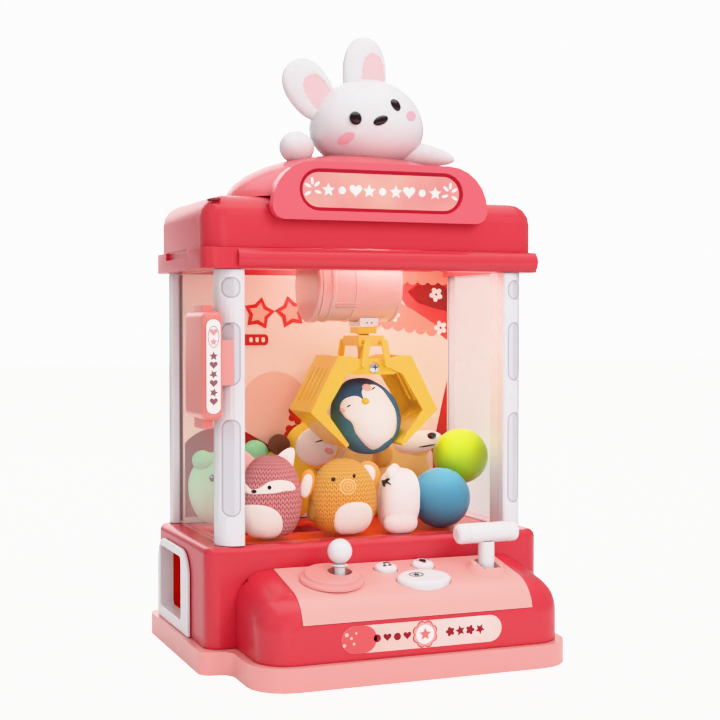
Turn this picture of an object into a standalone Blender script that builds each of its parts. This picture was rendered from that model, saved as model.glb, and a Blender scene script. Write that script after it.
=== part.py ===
"""Table-top claw crane machine: a cabinet on a stepped base with a sloping control console,
clear windows, an overhead gantry that carries a winch and a two-jaw claw, and a lift-off roof
with an animal topper. Metres, +Z up, +X to the player's right, the player stands at -Y.
The origin is the middle of the base plate's underside."""
import math

import bmesh
import bpy
from mathutils import Matrix, Vector

# ---------------------------------------------------------------- driving dimensions
GAP = 0.0003                     # between pieces that touch
WALL = 0.0025                    # moulded wall
CABINET_HALF = 0.1130            # half the cabinet's width
CABINET_FRONT = -0.0348
CABINET_REAR = 0.0925
CABINET_CORNER = 0.0090
LEDGE_Z = 0.0757                 # top of the base housing
EAVE_HALF = 0.1140
EAVE_LOW = 0.2447
EAVE_TOP = 0.2575
ROOF_TOP = 0.2897
PLATE_MARGIN = 0.0050            # base plate past the housings
PLATE_TOP = 0.0142
CONSOLE_X = 0.0035               # console's middle, a little right of the cabinet's
CONSOLE_HALF = 0.0982
CONSOLE_FRONT = -0.0911
CONSOLE_BACK_Z = 0.0612          # console's height where it meets the cabinet
CONSOLE_SLOPE = math.radians(11.0)
CONSOLE_ROLL = 0.0220            # radius over the console's front edge
CONSOLE_SHOULDER = 0.0190        # radius round the console's ends
PANEL_HALF = 0.0745
PANEL_LOW = 0.0372               # lower edge of the control panel on the console's front
GROOVES = ((0.0940, 0.1530), (0.1740, 0.2120), (0.2270, 0.2395))   # on the pillars: foot, top
PILLAR_OUT = 0.1042              # outer side of the front pillars
PILLAR_IN = 0.0878
PILLAR_FRONT = -0.0324
PILLAR_REAR = -0.0128
PILLAR_ROUND = 0.0125            # radius of a front pillar's outer corner
WINDOW_OUT = 0.1010              # outer side of the side windows
WINDOW_THICK = 0.0020
CLAW_X = 0.0132                  # claw's centre line at rest
CLAW_Y = 0.0281
TUBE_Z = 0.2360                  # carriage tube's axis
TUBE_RADIUS = 0.0235
DRUM_OFFSET = 0.0056             # drum axis behind the cord
STICK_AT = Vector((-0.0370, -0.0602, 0.0530))    # joystick's two axes cross here
BEZEL_AT = (-0.0425, -0.0610)
LEVER_AT = Vector((0.0616, -0.0600, 0.0510))     # lever's axis
OUTLET_LOW = (0.0202, 0.0220)    # prize outlet's opening: y, z
OUTLET_HIGH = (0.0750, 0.0627)
FLOOR_TOP = 0.0754
HATCH = (-0.0920, -0.0170, 0.0120, 0.0520)       # hole in the prize floor: x, x, y, y

# ---------------------------------------------------------------- scene and materials
for old in list(bpy.data.objects):
    bpy.data.objects.remove(old, do_unlink=True)

PARTS = bpy.data.collections.new("claw_crane_machine")
CUTTERS = bpy.data.collections.new("cutters")
bpy.context.scene.collection.children.link(PARTS)
bpy.context.scene.collection.children.link(CUTTERS)


def material(name, colour, roughness, metallic=0.0, alpha=1.0):
    made = bpy.data.materials.new(name)
    made.use_nodes = True
    shader = made.node_tree.nodes["Principled BSDF"]
    shader.inputs["Base Color"].default_value = (*colour, 1.0)
    shader.inputs["Roughness"].default_value = roughness
    shader.inputs["Metallic"].default_value = metallic
    shader.inputs["Alpha"].default_value = alpha
    return made


CORAL = material("coral_plastic", (0.78, 0.08, 0.11), 0.3)
LIGHT_CORAL = material("light_coral_plastic", (0.86, 0.19, 0.22), 0.3)
BLUSH = material("blush_plastic", (0.90, 0.42, 0.38), 0.35)
WHITE = material("white_plastic", (0.80, 0.80, 0.81), 0.3)
CLEAR = material("clear_plastic", (0.90, 0.93, 0.95), 0.05, alpha=0.2)
YELLOW = material("yellow_plastic", (0.90, 0.55, 0.10), 0.35)
CHROME = material("chrome", (0.75, 0.75, 0.77), 0.15, metallic=1.0)
MOTOR_METAL = material("motor_metal", (0.45, 0.45, 0.47), 0.35, metallic=1.0)
GREEN_BOARD = material("circuit_board", (0.05, 0.30, 0.12), 0.5)
BLACK = material("black_plastic", (0.03, 0.03, 0.03), 0.5)
CARD = material("printed_card", (0.93, 0.68, 0.50), 0.7)
CORD = material("cord", (0.85, 0.85, 0.80), 0.8)
RABBIT = material("rabbit_vinyl", (0.82, 0.80, 0.79), 0.45)
BLUE_BALL = material("blue_ball", (0.11, 0.38, 0.55), 0.35)
GREEN_BALL = material("green_ball", (0.50, 0.64, 0.02), 0.35)
PLUSH_BLUE = material("blue_plush", (0.08, 0.18, 0.27), 0.9)
PLUSH_PINK = material("pink_plush", (0.55, 0.13, 0.15), 0.9)
PLUSH_ORANGE = material("orange_plush", (0.85, 0.32, 0.04), 0.9)
PLUSH_WHITE = material("white_plush", (0.83, 0.78, 0.76), 0.9)
PLUSH_GREEN = material("green_plush", (0.36, 0.66, 0.42), 0.9)
PLUSH_BEIGE = material("beige_plush", (0.82, 0.55, 0.35), 0.9)
PLUSH_YELLOW = material("yellow_plush", (0.87, 0.50, 0.05), 0.9)


# ---------------------------------------------------------------- tools
def add(name, mesh, skin, sharp=math.radians(35.0)):
    """Link a mesh as a named part of the machine."""
    part = bpy.data.objects.new(name, mesh)
    PARTS.objects.link(part)
    mesh.materials.clear()
    if skin is not None:
        mesh.materials.append(skin)
    mesh.shade_smooth()
    mesh.set_sharp_from_angle(angle=sharp)
    return part


def from_bmesh(name, shape, skin=None):
    bmesh.ops.recalc_face_normals(shape, faces=shape.faces[:])
    mesh = bpy.data.meshes.new(name)
    shape.to_mesh(mesh)
    shape.free()
    return add(name, mesh, skin)


def box_shape(low, high):
    shape = bmesh.new()
    bmesh.ops.create_cube(shape, size=1.0)
    size = Vector(high) - Vector(low)
    bmesh.ops.scale(shape, vec=size, verts=shape.verts)
    bmesh.ops.translate(shape, vec=(Vector(low) + Vector(high)) / 2, verts=shape.verts)
    return shape


def box(name, low, high, skin=None):
    return from_bmesh(name, box_shape(low, high), skin)


def bevel_edges(shape, chosen, radius, segments):
    edges = [edge for edge in shape.edges if chosen(edge)]
    bmesh.ops.bevel(shape, geom=edges, offset=radius, segments=segments, affect="EDGES",
                    profile=0.5, clamp_overlap=False)


def is_upright(edge):
    first, second = (v.co for v in edge.verts)
    return abs(first.z - second.z) > 0.9 * (first - second).length > 0


def is_at_height(height):
    return lambda edge: all(abs(v.co.z - height) < 1e-6 for v in edge.verts)


def rounded_box(name, low, high, skin=None, upright=0.0, top=0.0, bottom=0.0, segments=3):
    """A box with rounded upright edges, then a rounded top and bottom rim."""
    shape = box_shape(low, high)
    if upright:
        bevel_edges(shape, is_upright, upright, segments)
    if top:
        bevel_edges(shape, is_at_height(high[2]), top, segments)
    if bottom:
        bevel_edges(shape, is_at_height(low[2]), bottom, segments)
    return from_bmesh(name, shape, skin)


AXIS_FRAMES = {
    "x": Matrix(((0, 0, 1), (1, 0, 0), (0, 1, 0))).to_4x4(),   # outline in y, z
    "y": Matrix(((1, 0, 0), (0, 0, -1), (0, 1, 0))).to_4x4(),  # outline in x, z
    "z": Matrix.Identity(4),                                  # outline in x, y
}


def prism(name, outline, axis, start, end, skin=None):
    """A flat outline, drawn as a filled 2D curve, made as thick as start to end along an axis."""
    curve = bpy.data.curves.new(name, "CURVE")
    curve.dimensions = "2D"
    curve.fill_mode = "BOTH"
    curve.extrude = (end - start) / 2
    line = curve.splines.new("POLY")
    line.points.add(len(outline) - 1)
    for point, (across, up) in zip(line.points, outline):
        point.co = (across, up, 0.0, 1.0)
    line.use_cyclic_u = True
    holder = bpy.data.objects.new(name, curve)
    PARTS.objects.link(holder)
    bpy.context.view_layer.update()
    seen = holder.evaluated_get(bpy.context.evaluated_depsgraph_get())
    mesh = bpy.data.meshes.new_from_object(seen)
    bpy.data.objects.remove(holder, do_unlink=True)
    bpy.data.curves.remove(curve)
    shape = bmesh.new()
    shape.from_mesh(mesh)
    bpy.data.meshes.remove(mesh)
    bmesh.ops.remove_doubles(shape, verts=shape.verts, dist=1e-6)
    bmesh.ops.dissolve_limit(shape, angle_limit=math.radians(0.5), verts=shape.verts,
                             edges=shape.edges)
    middle = (start + end) / 2
    frame = AXIS_FRAMES[axis]
    along = frame.to_3x3() @ Vector((0.0, 0.0, 1.0))
    shift = Vector([middle * abs(part) for part in along])
    bmesh.ops.transform(shape, matrix=Matrix.Translation(shift) @ frame, verts=shape.verts)
    return from_bmesh(name, shape, skin)


def turned(name, profile, skin, place=(0, 0, 0), turn=None, steps=24):
    """A profile of (radius, height), down its outer side, spun about its own Z."""
    mesh = bpy.data.meshes.new(name)
    is_ring = profile[0] == profile[-1]
    points = [(radius, 0.0, height) for radius, height in (profile[:-1] if is_ring else profile)]
    lines = [(i, i + 1) for i in range(len(points) - 1)]
    if is_ring:
        lines.append((len(points) - 1, 0))
    mesh.from_pydata(points, lines, [])
    part = add(name, mesh, skin)
    spin = part.modifiers.new("spin", "SCREW")
    spin.steps = steps
    spin.render_steps = steps
    spin.use_merge_vertices = True
    spin.merge_threshold = 0.00001
    part.location = place
    if turn is not None:
        part.rotation_euler = turn
    return part


def cylinder_shape(radius, depth, centre, axis="z", sides=20, top_radius=None):
    shape = bmesh.new()
    bmesh.ops.create_cone(shape, cap_ends=True, segments=sides, radius1=radius,
                          radius2=radius if top_radius is None else top_radius, depth=depth)
    turn = {"x": Matrix.Rotation(math.pi / 2, 4, "Y"), "y": Matrix.Rotation(math.pi / 2, 4, "X"),
            "z": Matrix.Identity(4)}[axis]
    bmesh.ops.transform(shape, matrix=Matrix.Translation(centre) @ turn, verts=shape.verts)
    return shape


def cylinder(name, radius, depth, centre, skin=None, axis="z", sides=20):
    return from_bmesh(name, cylinder_shape(radius, depth, centre, axis, sides), skin)


def ellipsoid(name, centre, radii, skin=None, turn=(0, 0, 0), segments=20, rings=12):
    shape = bmesh.new()
    bmesh.ops.create_uvsphere(shape, u_segments=segments, v_segments=rings, radius=1.0)
    place = Matrix.LocRotScale(Vector(centre), None, None)
    spin = (Matrix.Rotation(turn[2], 4, "Z") @ Matrix.Rotation(turn[1], 4, "Y")
            @ Matrix.Rotation(turn[0], 4, "X"))
    grow = Matrix.Diagonal((*radii, 1.0))
    bmesh.ops.transform(shape, matrix=place @ spin @ grow, verts=shape.verts)
    return from_bmesh(name, shape, skin)


def combine(part, tool, operation="DIFFERENCE"):
    """Cut a part with a tool, or join a tool to it; the tool becomes a hidden guide."""
    PARTS.objects.unlink(tool)
    CUTTERS.objects.link(tool)
    tool.hide_render = True
    tool.display_type = "WIRE"
    step = part.modifiers.new(operation.lower(), "BOOLEAN")
    step.operation = operation
    step.solver = "EXACT"
    step.object = tool
    return part


def cut(part, *tools):
    for tool in tools:
        combine(part, tool)
    return part


def join(part, *tools):
    for tool in tools:
        combine(part, tool, "UNION")
    return part


def arc(centre, radius, start, end, steps):
    """Points on an arc, angles in degrees."""
    angles = [math.radians(start + (end - start) * i / steps) for i in range(steps + 1)]
    return [(centre[0] + radius * math.cos(a), centre[1] + radius * math.sin(a)) for a in angles]


def rounded_rectangle(low, high, radii, steps=4):
    """An outline with corner radii given anticlockwise from the low corner."""
    (x0, y0), (x1, y1) = low, high
    corners = [((x0, y0), (1, 1), 180), ((x1, y0), (-1, 1), 270),
               ((x1, y1), (-1, -1), 0), ((x0, y1), (1, -1), 90)]
    points = []
    for ((x, y), (sx, sy), start), radius in zip(corners, radii):
        if radius:
            centre = (x + sx * radius, y + sy * radius)
            points += arc(centre, radius, start, start + 90, steps)
        else:
            points.append((x, y))
    return points


def mirrored(outline):
    return [(-x, y) for x, y in reversed(outline)]


# ---------------------------------------------------------------- base
def plate_outline(grow):
    """The cabinet's footprint with the narrower console in front, grown outwards."""
    half, front, rear = CABINET_HALF + grow, CABINET_FRONT - grow, CABINET_REAR + grow
    nose = CONSOLE_FRONT - grow
    corner, nose_corner = CABINET_CORNER, CONSOLE_SHOULDER + grow

    def side(narrow):
        notch = half - corner - narrow
        points = arc((narrow - nose_corner, nose + nose_corner), nose_corner, -90, 0, 5)
        points += arc((narrow + notch, front - notch), notch, 180, 90, 4)
        points += arc((half - corner, front + corner), corner, -90, 0, 4)[1:]
        return points + arc((half - corner, rear - corner), corner, 0, 90, 4)

    return side(CONSOLE_HALF + CONSOLE_X + grow) + mirrored(side(CONSOLE_HALF - CONSOLE_X + grow))


def make_base():
    plate = prism("base_plate", plate_outline(PLATE_MARGIN), "z", 0.0, PLATE_TOP, BLUSH)
    cut(plate, prism("plate_pocket", plate_outline(-0.0075), "z", 0.0030, 0.02, None))
    cut(plate, box("plate_battery_hole", (0.010, 0.026, -0.01), (0.078, 0.074, 0.01)))
    box("battery_door", (0.0104, 0.0264, 0.0004), (0.0776, 0.0736, 0.0028), BLUSH)

    housing = rounded_box("base_housing", (-CABINET_HALF, CABINET_FRONT, PLATE_TOP + GAP),
                          (CABINET_HALF, CABINET_REAR, LEDGE_Z), CORAL,
                          upright=CABINET_CORNER, top=0.0045)
    inner = (CABINET_HALF - WALL, CABINET_FRONT + WALL, CABINET_REAR - WALL)
    cut(housing,
        rounded_box("housing_inside", (-inner[0], inner[1], 0.0), (inner[0], inner[2], 0.0729),
                    upright=CABINET_CORNER - WALL),
        box("housing_well", (-0.0960, -0.0220, 0.05), (0.0960, 0.0740, 0.09)),
        box("housing_outlet", (-0.12, 0.0182, 0.0200), (-0.10, 0.0770, 0.0647)))

    floor = box("prize_floor", (-0.0957, -0.0217, 0.0734), (0.0957, 0.0737, FLOOR_TOP), CORAL)
    cut(floor, box("floor_hatch", (HATCH[0], HATCH[2], 0.07), (HATCH[1], HATCH[3], 0.08)))

    chute = box("prize_chute", (-0.0970, 0.0100, 0.0160), (-0.0130, 0.0770, 0.0726), LIGHT_CORAL)
    ramp = [(-0.1100, 0.0200), (-0.0975, 0.0200), (-0.0150, 0.0560), (-0.0150, 0.0900),
            (-0.1100, 0.0900)]
    under = [(-0.0948, 0.0100), (-0.0150, 0.0100), (-0.0150, 0.0538), (-0.0948, 0.0192)]
    cut(chute, prism("chute_inside", ramp, "y", 0.0120, 0.0750, None),
        prism("chute_under", under, "y", 0.0120, 0.0750, None))

    outer = rounded_rectangle((0.0026, PLATE_TOP + 0.0004), (0.0820, 0.0682), (0, 0, 0.017, 0.017), 6)
    sleeve = rounded_rectangle((0.0185, 0.0203), (0.0767, 0.0644), (0.003,) * 4, 2)
    hole = rounded_rectangle(OUTLET_LOW, OUTLET_HIGH, (0.003,) * 4, 2)
    frame = prism("outlet_frame", outer, "x", -CABINET_HALF - 0.0024, -CABINET_HALF - GAP, WHITE)
    join(frame, prism("frame_sleeve", sleeve, "x", -0.1140, -0.0985, None))
    cut(frame, prism("frame_hole", hole, "x", -0.1200, -0.0900, None))

    turned("speaker", [(0.0, 0.0160), (0.0080, 0.0160), (0.0160, 0.0070), (0.0160, 0.0036),
                       (0.0, 0.0036)], BLACK, (-0.0560, -0.0560, 0.0))
    box("circuit_board", (-0.0250, -0.0720, 0.0036), (0.0450, -0.0380, 0.0056), GREEN_BOARD)


# ---------------------------------------------------------------- console
def console_profile(inset, low):
    """The console's side outline in y, z: front wall, roll over the edge, slope up to the cabinet."""
    slope = math.tan(CONSOLE_SLOPE)
    rise = CONSOLE_BACK_Z - inset / math.cos(CONSOLE_SLOPE)
    roll = CONSOLE_ROLL - inset
    centre_y = CONSOLE_FRONT + CONSOLE_ROLL
    edge_y = centre_y - roll * math.sin(CONSOLE_SLOPE)
    edge_z = rise - slope * (CABINET_FRONT - edge_y)
    centre_z = edge_z - roll * math.cos(CONSOLE_SLOPE)
    over = arc((centre_y, centre_z), roll, 90 + math.degrees(CONSOLE_SLOPE), 180, 6)
    back = CABINET_FRONT - GAP
    return [(back, low), (back, rise + slope * GAP)] + over + [(centre_y - roll, low)]


def console_block(name, half, inset, low, shoulder, skin=None):
    """The console's profile swept across its width; towards each end it shrinks along a quarter
    circle, which rounds the end over the top and the front."""
    steps = 5 if shoulder else 0
    turns = [math.pi / 2 * i / steps for i in range(steps, -1, -1)] if steps else [0.0]
    ends = [(half - shoulder + shoulder * math.sin(a), shoulder * (1 - math.cos(a))) for a in turns]
    stations = [(-x, extra) for x, extra in ends] + [(x, extra) for x, extra in reversed(ends)]
    shape = bmesh.new()
    rings = []
    for x, extra in stations:
        rings.append([shape.verts.new((CONSOLE_X + x, y, z))
                      for y, z in console_profile(inset + extra, low)])
    for one, two in zip(rings, rings[1:]):
        count = len(one)
        for i in range(count):
            j = (i + 1) % count
            shape.faces.new((one[i], one[j], two[j], two[i]))
    shape.faces.new(rings[0])
    shape.faces.new(rings[-1])
    return from_bmesh(name, shape, skin)


def panel_point(x, y, lift=0.0):
    """A point on the console's sloping top, raised along its normal."""
    z = CONSOLE_BACK_Z - math.tan(CONSOLE_SLOPE) * (CABINET_FRONT - y)
    normal = Vector((0.0, -math.sin(CONSOLE_SLOPE), math.cos(CONSOLE_SLOPE)))
    return Vector((x, y, z)) + normal * lift


def make_button(name, x, y, half_wide, half_deep):
    """A domed push button through the panel, square to the slope, and its clearance hole."""
    tilt = Matrix.Rotation(CONSOLE_SLOPE, 4, "X")
    place = Matrix.Translation(panel_point(x, y)) @ tilt

    def slug(label, grow, low, high, dome, skin):
        shape = cylinder_shape(half_wide + grow, high - low, (0, 0, (low + high) / 2), sides=24)
        if dome:
            bevel_edges(shape, is_at_height(high), dome, 3)
        squash = Matrix.Diagonal((1.0, (half_deep + grow) / (half_wide + grow), 1.0, 1.0))
        bmesh.ops.transform(shape, matrix=place @ squash, verts=shape.verts)
        return from_bmesh(label, shape, skin)

    slug(name, 0.0, -0.0060, 0.0036, 0.0026, WHITE)
    return slug(name + "_hole", 0.0005, -0.0100, 0.0100, 0.0, None)


def make_console():
    console = console_block("console_housing", CONSOLE_HALF, 0.0, PLATE_TOP + GAP,
                            CONSOLE_SHOULDER, CORAL)
    cut(console, console_block("console_inside", CONSOLE_HALF - WALL, WALL, 0.0,
                               CONSOLE_SHOULDER - WALL))
    cut(console, box("console_back", (CONSOLE_X - 0.0945, CABINET_FRONT - 0.003, 0.0),
                     (CONSOLE_X + 0.0945, CABINET_FRONT + 0.01, 0.0560)))
    cut(console, box("console_window", (CONSOLE_X - PANEL_HALF - GAP, -0.12, PANEL_LOW - GAP),
                     (CONSOLE_X + PANEL_HALF + GAP, 0.0, 0.09)))

    panel = console_block("control_panel", PANEL_HALF, -0.0003, 0.0, 0.0, BLUSH)
    cut(panel, console_block("panel_inside", PANEL_HALF + 0.01, WALL, -0.01, 0.0),
        box("panel_foot", (-0.1, -0.12, -0.02), (0.1, 0.0, PANEL_LOW)),
        box("panel_back", (-0.1, -0.0357, -0.02), (0.1, 0.0, 0.09)))
    mound_low = panel_point(LEVER_AT.x, LEVER_AT.y, -0.0015)
    mound = cylinder_shape(0.0143, 0.0060, (0, 0, 0.003), sides=24, top_radius=0.0100)
    place = Matrix.Translation(mound_low) @ Matrix.Rotation(CONSOLE_SLOPE, 4, "X")
    bmesh.ops.transform(mound, matrix=place, verts=mound.verts)
    join(panel, from_bmesh("lever_mound", mound))
    cut(panel, box("lever_slot", LEVER_AT + Vector((-0.0060, -0.0095, -0.004)),
                   LEVER_AT + Vector((0.0060, 0.0095, 0.02))))
    cut(panel, cylinder("stick_hole", 0.0110, 0.03, STICK_AT))
    for hole in (make_button("grab_button", 0.0140, -0.0702, 0.0175, 0.0118),
                 make_button("music_button", -0.0024, -0.0490, 0.0073, 0.0073),
                 make_button("light_button", 0.0234, -0.0474, 0.0073, 0.0073)):
        cut(panel, hole)


def make_joystick():
    """A stepped bezel on the panel, a ring that tips about X, and a stick that tips about Y in it."""
    slope = (CONSOLE_SLOPE, 0.0, 0.0)
    bezel = turned("joystick_bezel", [(0.0, 0.0050), (0.0165, 0.0050), (0.0172, 0.0043),
                                      (0.0172, 0.0030), (0.0190, 0.0025), (0.0197, 0.0017),
                                      (0.0197, 0.0), (0.0, 0.0)],
                   BLUSH, panel_point(*BEZEL_AT, 0.0003 + GAP), slope, steps=32)
    cut(bezel, cylinder("bezel_bore", 0.0075, 0.03, STICK_AT))
    turned("joystick_gimbal", [(0.0050, 0.0020), (0.0085, 0.0020), (0.0085, -0.0020),
                               (0.0050, -0.0020), (0.0050, 0.0020)],
           BLACK, STICK_AT - Vector((0, 0, 0.0020)), steps=16)
    ball, high = 0.0076, 0.0210
    turned("joystick_stick", [(0.0, high - 0.0030), (0.0021, high - 0.0030), (0.0021, 0.0134),
                              (0.0046, 0.0132), (0.0052, 0.0124), (0.0034, 0.0116), (0.0030, 0.0),
                              (0.0042, -0.0020), (0.0030, -0.0100), (0.0, -0.0100)],
           WHITE, STICK_AT, steps=16)
    knob = turned("joystick_knob", [(0.0, high + ball)] + [
        (ball * math.sin(math.radians(a)), high + ball * math.cos(math.radians(a)))
        for a in range(15, 166, 15)] + [(0.0, high - ball)], WHITE, STICK_AT, steps=20)
    cut(knob, cylinder("knob_bore", 0.0024, 0.0110, STICK_AT + Vector((0, 0, high - 0.0080)),
                       sides=12))


def make_lever():
    """A T handle on a stem that rocks to and fro in its slot."""
    stem = cylinder("lever_stem", 0.0052, 0.0250, LEVER_AT + Vector((0, 0, 0.0112)), WHITE)
    join(stem, cylinder("stem_boss", 0.0040, 0.0100, LEVER_AT, None, "x", 16))
    length, radius, top = 0.0212, 0.0064, 0.0289
    profile = [(0.0, length), (0.0040, length), (0.0058, length - 0.0012), (radius, length - 0.0030),
               (radius, 0.0144), (0.0060, 0.0140), (0.0060, 0.0134), (radius, 0.0130)]
    profile += [(r, -h) for r, h in reversed(profile)]
    handle = turned("lever_handle", profile, WHITE, LEVER_AT + Vector((0, 0, top)),
                    (0.0, math.pi / 2, 0.0))
    cut(handle, cylinder("handle_socket", 0.0055, 0.0100, LEVER_AT + Vector((0, 0, 0.0190))))
    return handle


# ---------------------------------------------------------------- cabinet
def pillar_outline(inset):
    """A front pillar's right-hand plan: broadly rounded outer corner, narrower towards the rear."""
    out, inner = PILLAR_OUT - inset, PILLAR_IN + inset
    front, rear, corner = PILLAR_FRONT + inset, PILLAR_REAR - inset, PILLAR_ROUND - inset
    points = [(inner, rear), (inner, front + 0.0010), (inner + 0.0010, front)]
    points += arc((out - corner, front + corner), corner, -90, 0, 7)
    return points + [(out - 0.0032, rear)]


def make_front_pillar(side, hand):
    """A hollow pillar with three shallow round-ended grooves down its rounded corner."""
    def shaped(name, inset, low, high, skin=None):
        outline = pillar_outline(inset)
        return prism(name, outline if side > 0 else mirrored(outline), "z", low, high, skin)

    low, high = LEDGE_Z + GAP, EAVE_LOW - GAP
    pillar = shaped("pillar_front_" + hand, 0.0, low, high, WHITE)
    cut(pillar, shaped("pillar_core_" + hand, 0.0026, low - 0.01, high - 0.0030))
    face = Vector((side * (PILLAR_OUT - PILLAR_ROUND), PILLAR_FRONT + PILLAR_ROUND, 0.0))
    turn = Matrix.Rotation(side * math.radians(35.0), 4, "Z")
    for number, (foot, top) in enumerate(GROOVES):
        outline = rounded_rectangle((-0.0052, foot), (0.0052, top), (0.0050,) * 4, 4)
        groove = prism(f"groove_{hand}_{number}", outline, "y", -PILLAR_ROUND - 0.0040,
                       -PILLAR_ROUND + 0.0009, None)
        groove.data.transform(Matrix.Translation(face) @ turn)
        cut(pillar, groove)


def make_rear_pillar(side, hand):
    x = sorted((side * 0.1058, side * 0.0998))
    return rounded_box("pillar_rear_" + hand, (x[0], 0.0790, LEDGE_Z + GAP),
                       (x[1], 0.0885, EAVE_LOW - GAP), WHITE, upright=0.0015, segments=3)


def make_cabinet():
    high = EAVE_LOW - GAP
    low = LEDGE_Z + GAP
    for side, hand in ((-1, "left"), (1, "right")):
        make_front_pillar(side, hand)
        make_rear_pillar(side, hand)
        x = sorted((side * WINDOW_OUT, side * (WINDOW_OUT - WINDOW_THICK)))
        box("window_" + hand, (x[0], PILLAR_REAR + GAP, low), (x[1], 0.0787, high),
            CLEAR)
    reach = PILLAR_IN - GAP
    box("window_front", (-reach, -0.0260, low), (reach, -0.0240, high), CLEAR)
    box("back_wall", (-0.0993, 0.0860, low), (0.0993, 0.0885, high), CORAL)
    box("backdrop_card", (-0.0985, 0.0762, low), (0.0985, 0.0777, high), CARD)


def make_coin_box():
    """A slim coin magazine on the left front pillar, open on its inner side, and its clip."""
    magazine = rounded_box("coin_magazine", (-0.1184, -0.0480, 0.1540), (-0.1056, -0.0027, 0.2185),
                           LIGHT_CORAL, upright=0.0046, top=0.0040, bottom=0.0040, segments=4)
    for label, base, top in (("lug_top", 0.2150, 0.2225), ("lug_foot", 0.1485, 0.1560)):
        join(magazine, rounded_box(label, (-0.1160, -0.0370, base), (-0.1090, -0.0170, top),
                                   upright=0.0015))
    cut(magazine, box("magazine_inside", (-0.1164, -0.0450, 0.1570), (-0.1040, -0.0055, 0.2155)))
    box("coin_clip", (-0.1053, -0.0348, 0.1742), (-0.0956, -0.0327, 0.2014), LIGHT_CORAL)


def make_eave():
    eave = rounded_box("eave_frame", (-EAVE_HALF, CABINET_FRONT, EAVE_LOW),
                       (EAVE_HALF, CABINET_REAR, EAVE_TOP), CORAL, upright=CABINET_CORNER)
    bar_half = (EAVE_TOP - EAVE_LOW) / 2
    bar = cylinder("front_bar", bar_half - 0.00005, 0.2030,
                   (0.0085, CABINET_FRONT + 0.0030, EAVE_LOW + bar_half), None, "x", 20)
    join(eave, bar)
    cut(eave, box("eave_well", (-0.0940, -0.0200, 0.20), (0.0940, 0.0830, 0.30)))
    for side, hand in ((-1, "left"), (1, "right")):
        x = sorted((side * 0.1200, side * 0.1120))
        cut(eave, box("finger_notch_" + hand, (x[0], 0.0050, EAVE_TOP - 0.0050),
                      (x[1], 0.0600, 0.27)))


# ---------------------------------------------------------------- gantry, winch and claw
def make_gantry():
    beam = box("bridge_beam", (-0.1030, CLAW_Y - 0.0050, 0.2625), (0.1030, CLAW_Y + 0.0050, 0.2685),
               WHITE)
    for side, hand in ((-1, "left"), (1, "right")):
        x = sorted((side * 0.1030, side * 0.0955))
        join(beam, box("truck_" + hand, (x[0], CLAW_Y - 0.0120, EAVE_TOP + GAP),
                       (x[1], CLAW_Y + 0.0120, 0.2680)))

    left, right = -0.0242, 0.0323
    tube = cylinder("carriage_tube", TUBE_RADIUS, right - left,
                    ((left + right) / 2, CLAW_Y, TUBE_Z), BLUSH, "x", 32)
    join(tube, box("hanger", (CLAW_X - 0.0140, CLAW_Y - 0.0090, 0.2570),
                   (CLAW_X + 0.0140, CLAW_Y + 0.0090, 0.2725)))
    cut(tube, cylinder("tube_inside", TUBE_RADIUS - 0.0020, right - left,
                       ((left + right) / 2 - 0.0020, CLAW_Y, TUBE_Z), None, "x", 32),
        box("hanger_way", (-0.05, CLAW_Y - 0.0055, 0.2620), (0.07, CLAW_Y + 0.0055, 0.2690)),
        cylinder("cord_way", 0.0040, 0.0300, (CLAW_X, CLAW_Y, 0.2150), sides=12))
    turned("carriage_cap", [(0.0, 0.0025), (0.0235, 0.0025), (0.0245, 0.0015), (0.0245, -0.0003),
                            (0.0, -0.0003)], BLUSH,
           (left - 0.0006, CLAW_Y, TUBE_Z), (0.0, -math.pi / 2, 0.0), steps=32)

    guide = box("cord_guide", (CLAW_X - 0.0065, CLAW_Y - 0.0110, 0.2093),
                (CLAW_X + 0.0065, CLAW_Y + 0.0110, 0.2160), WHITE)
    cut(guide, cylinder("guide_seat", TUBE_RADIUS + GAP, 0.05, (CLAW_X, CLAW_Y, TUBE_Z), None, "x", 32),
        cylinder("guide_bore", 0.0020, 0.03, (CLAW_X, CLAW_Y, 0.2120), sides=12))
    drum_at = (CLAW_X, CLAW_Y + DRUM_OFFSET, TUBE_Z)
    turned("winch_drum", [(0.0, 0.0060), (0.0065, 0.0060), (0.0065, 0.0050), (0.0044, 0.0048),
                          (0.0044, -0.0048), (0.0065, -0.0050), (0.0065, -0.0060), (0.0, -0.0060)],
           WHITE, drum_at, (0.0, math.pi / 2, 0.0), steps=20)
    cylinder("winch_motor", 0.0080, 0.0095, (CLAW_X + 0.0120, CLAW_Y + DRUM_OFFSET, TUBE_Z),
             MOTOR_METAL, "x", 20)
    cylinder("hoist_cord", 0.0006, 0.0420, (CLAW_X, CLAW_Y, 0.2303), CORD, "z", 8)


def jaw_outline():
    """The left jaw seen from the front, about the claw's centre line: back, elbow, tip, pivot ear."""
    ear = arc((-0.0085, 0.1845), 0.0024, 60, -120, 4)
    return [(-0.0170, 0.1900), (-0.0260, 0.1900), (-0.0450, 0.1535), (-0.0200, 0.1300),
            (-0.0184, 0.1319), (-0.0345, 0.1538), (-0.0200, 0.1775)] + list(reversed(ear))


def jaw_hollow():
    """What is left out between the jaw's two cheeks."""
    return [(-0.0220, 0.1950), (-0.0236, 0.1892), (-0.0421, 0.1538), (-0.0187, 0.1318),
            (0.0, 0.1300), (0.0, 0.1950)]


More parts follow.
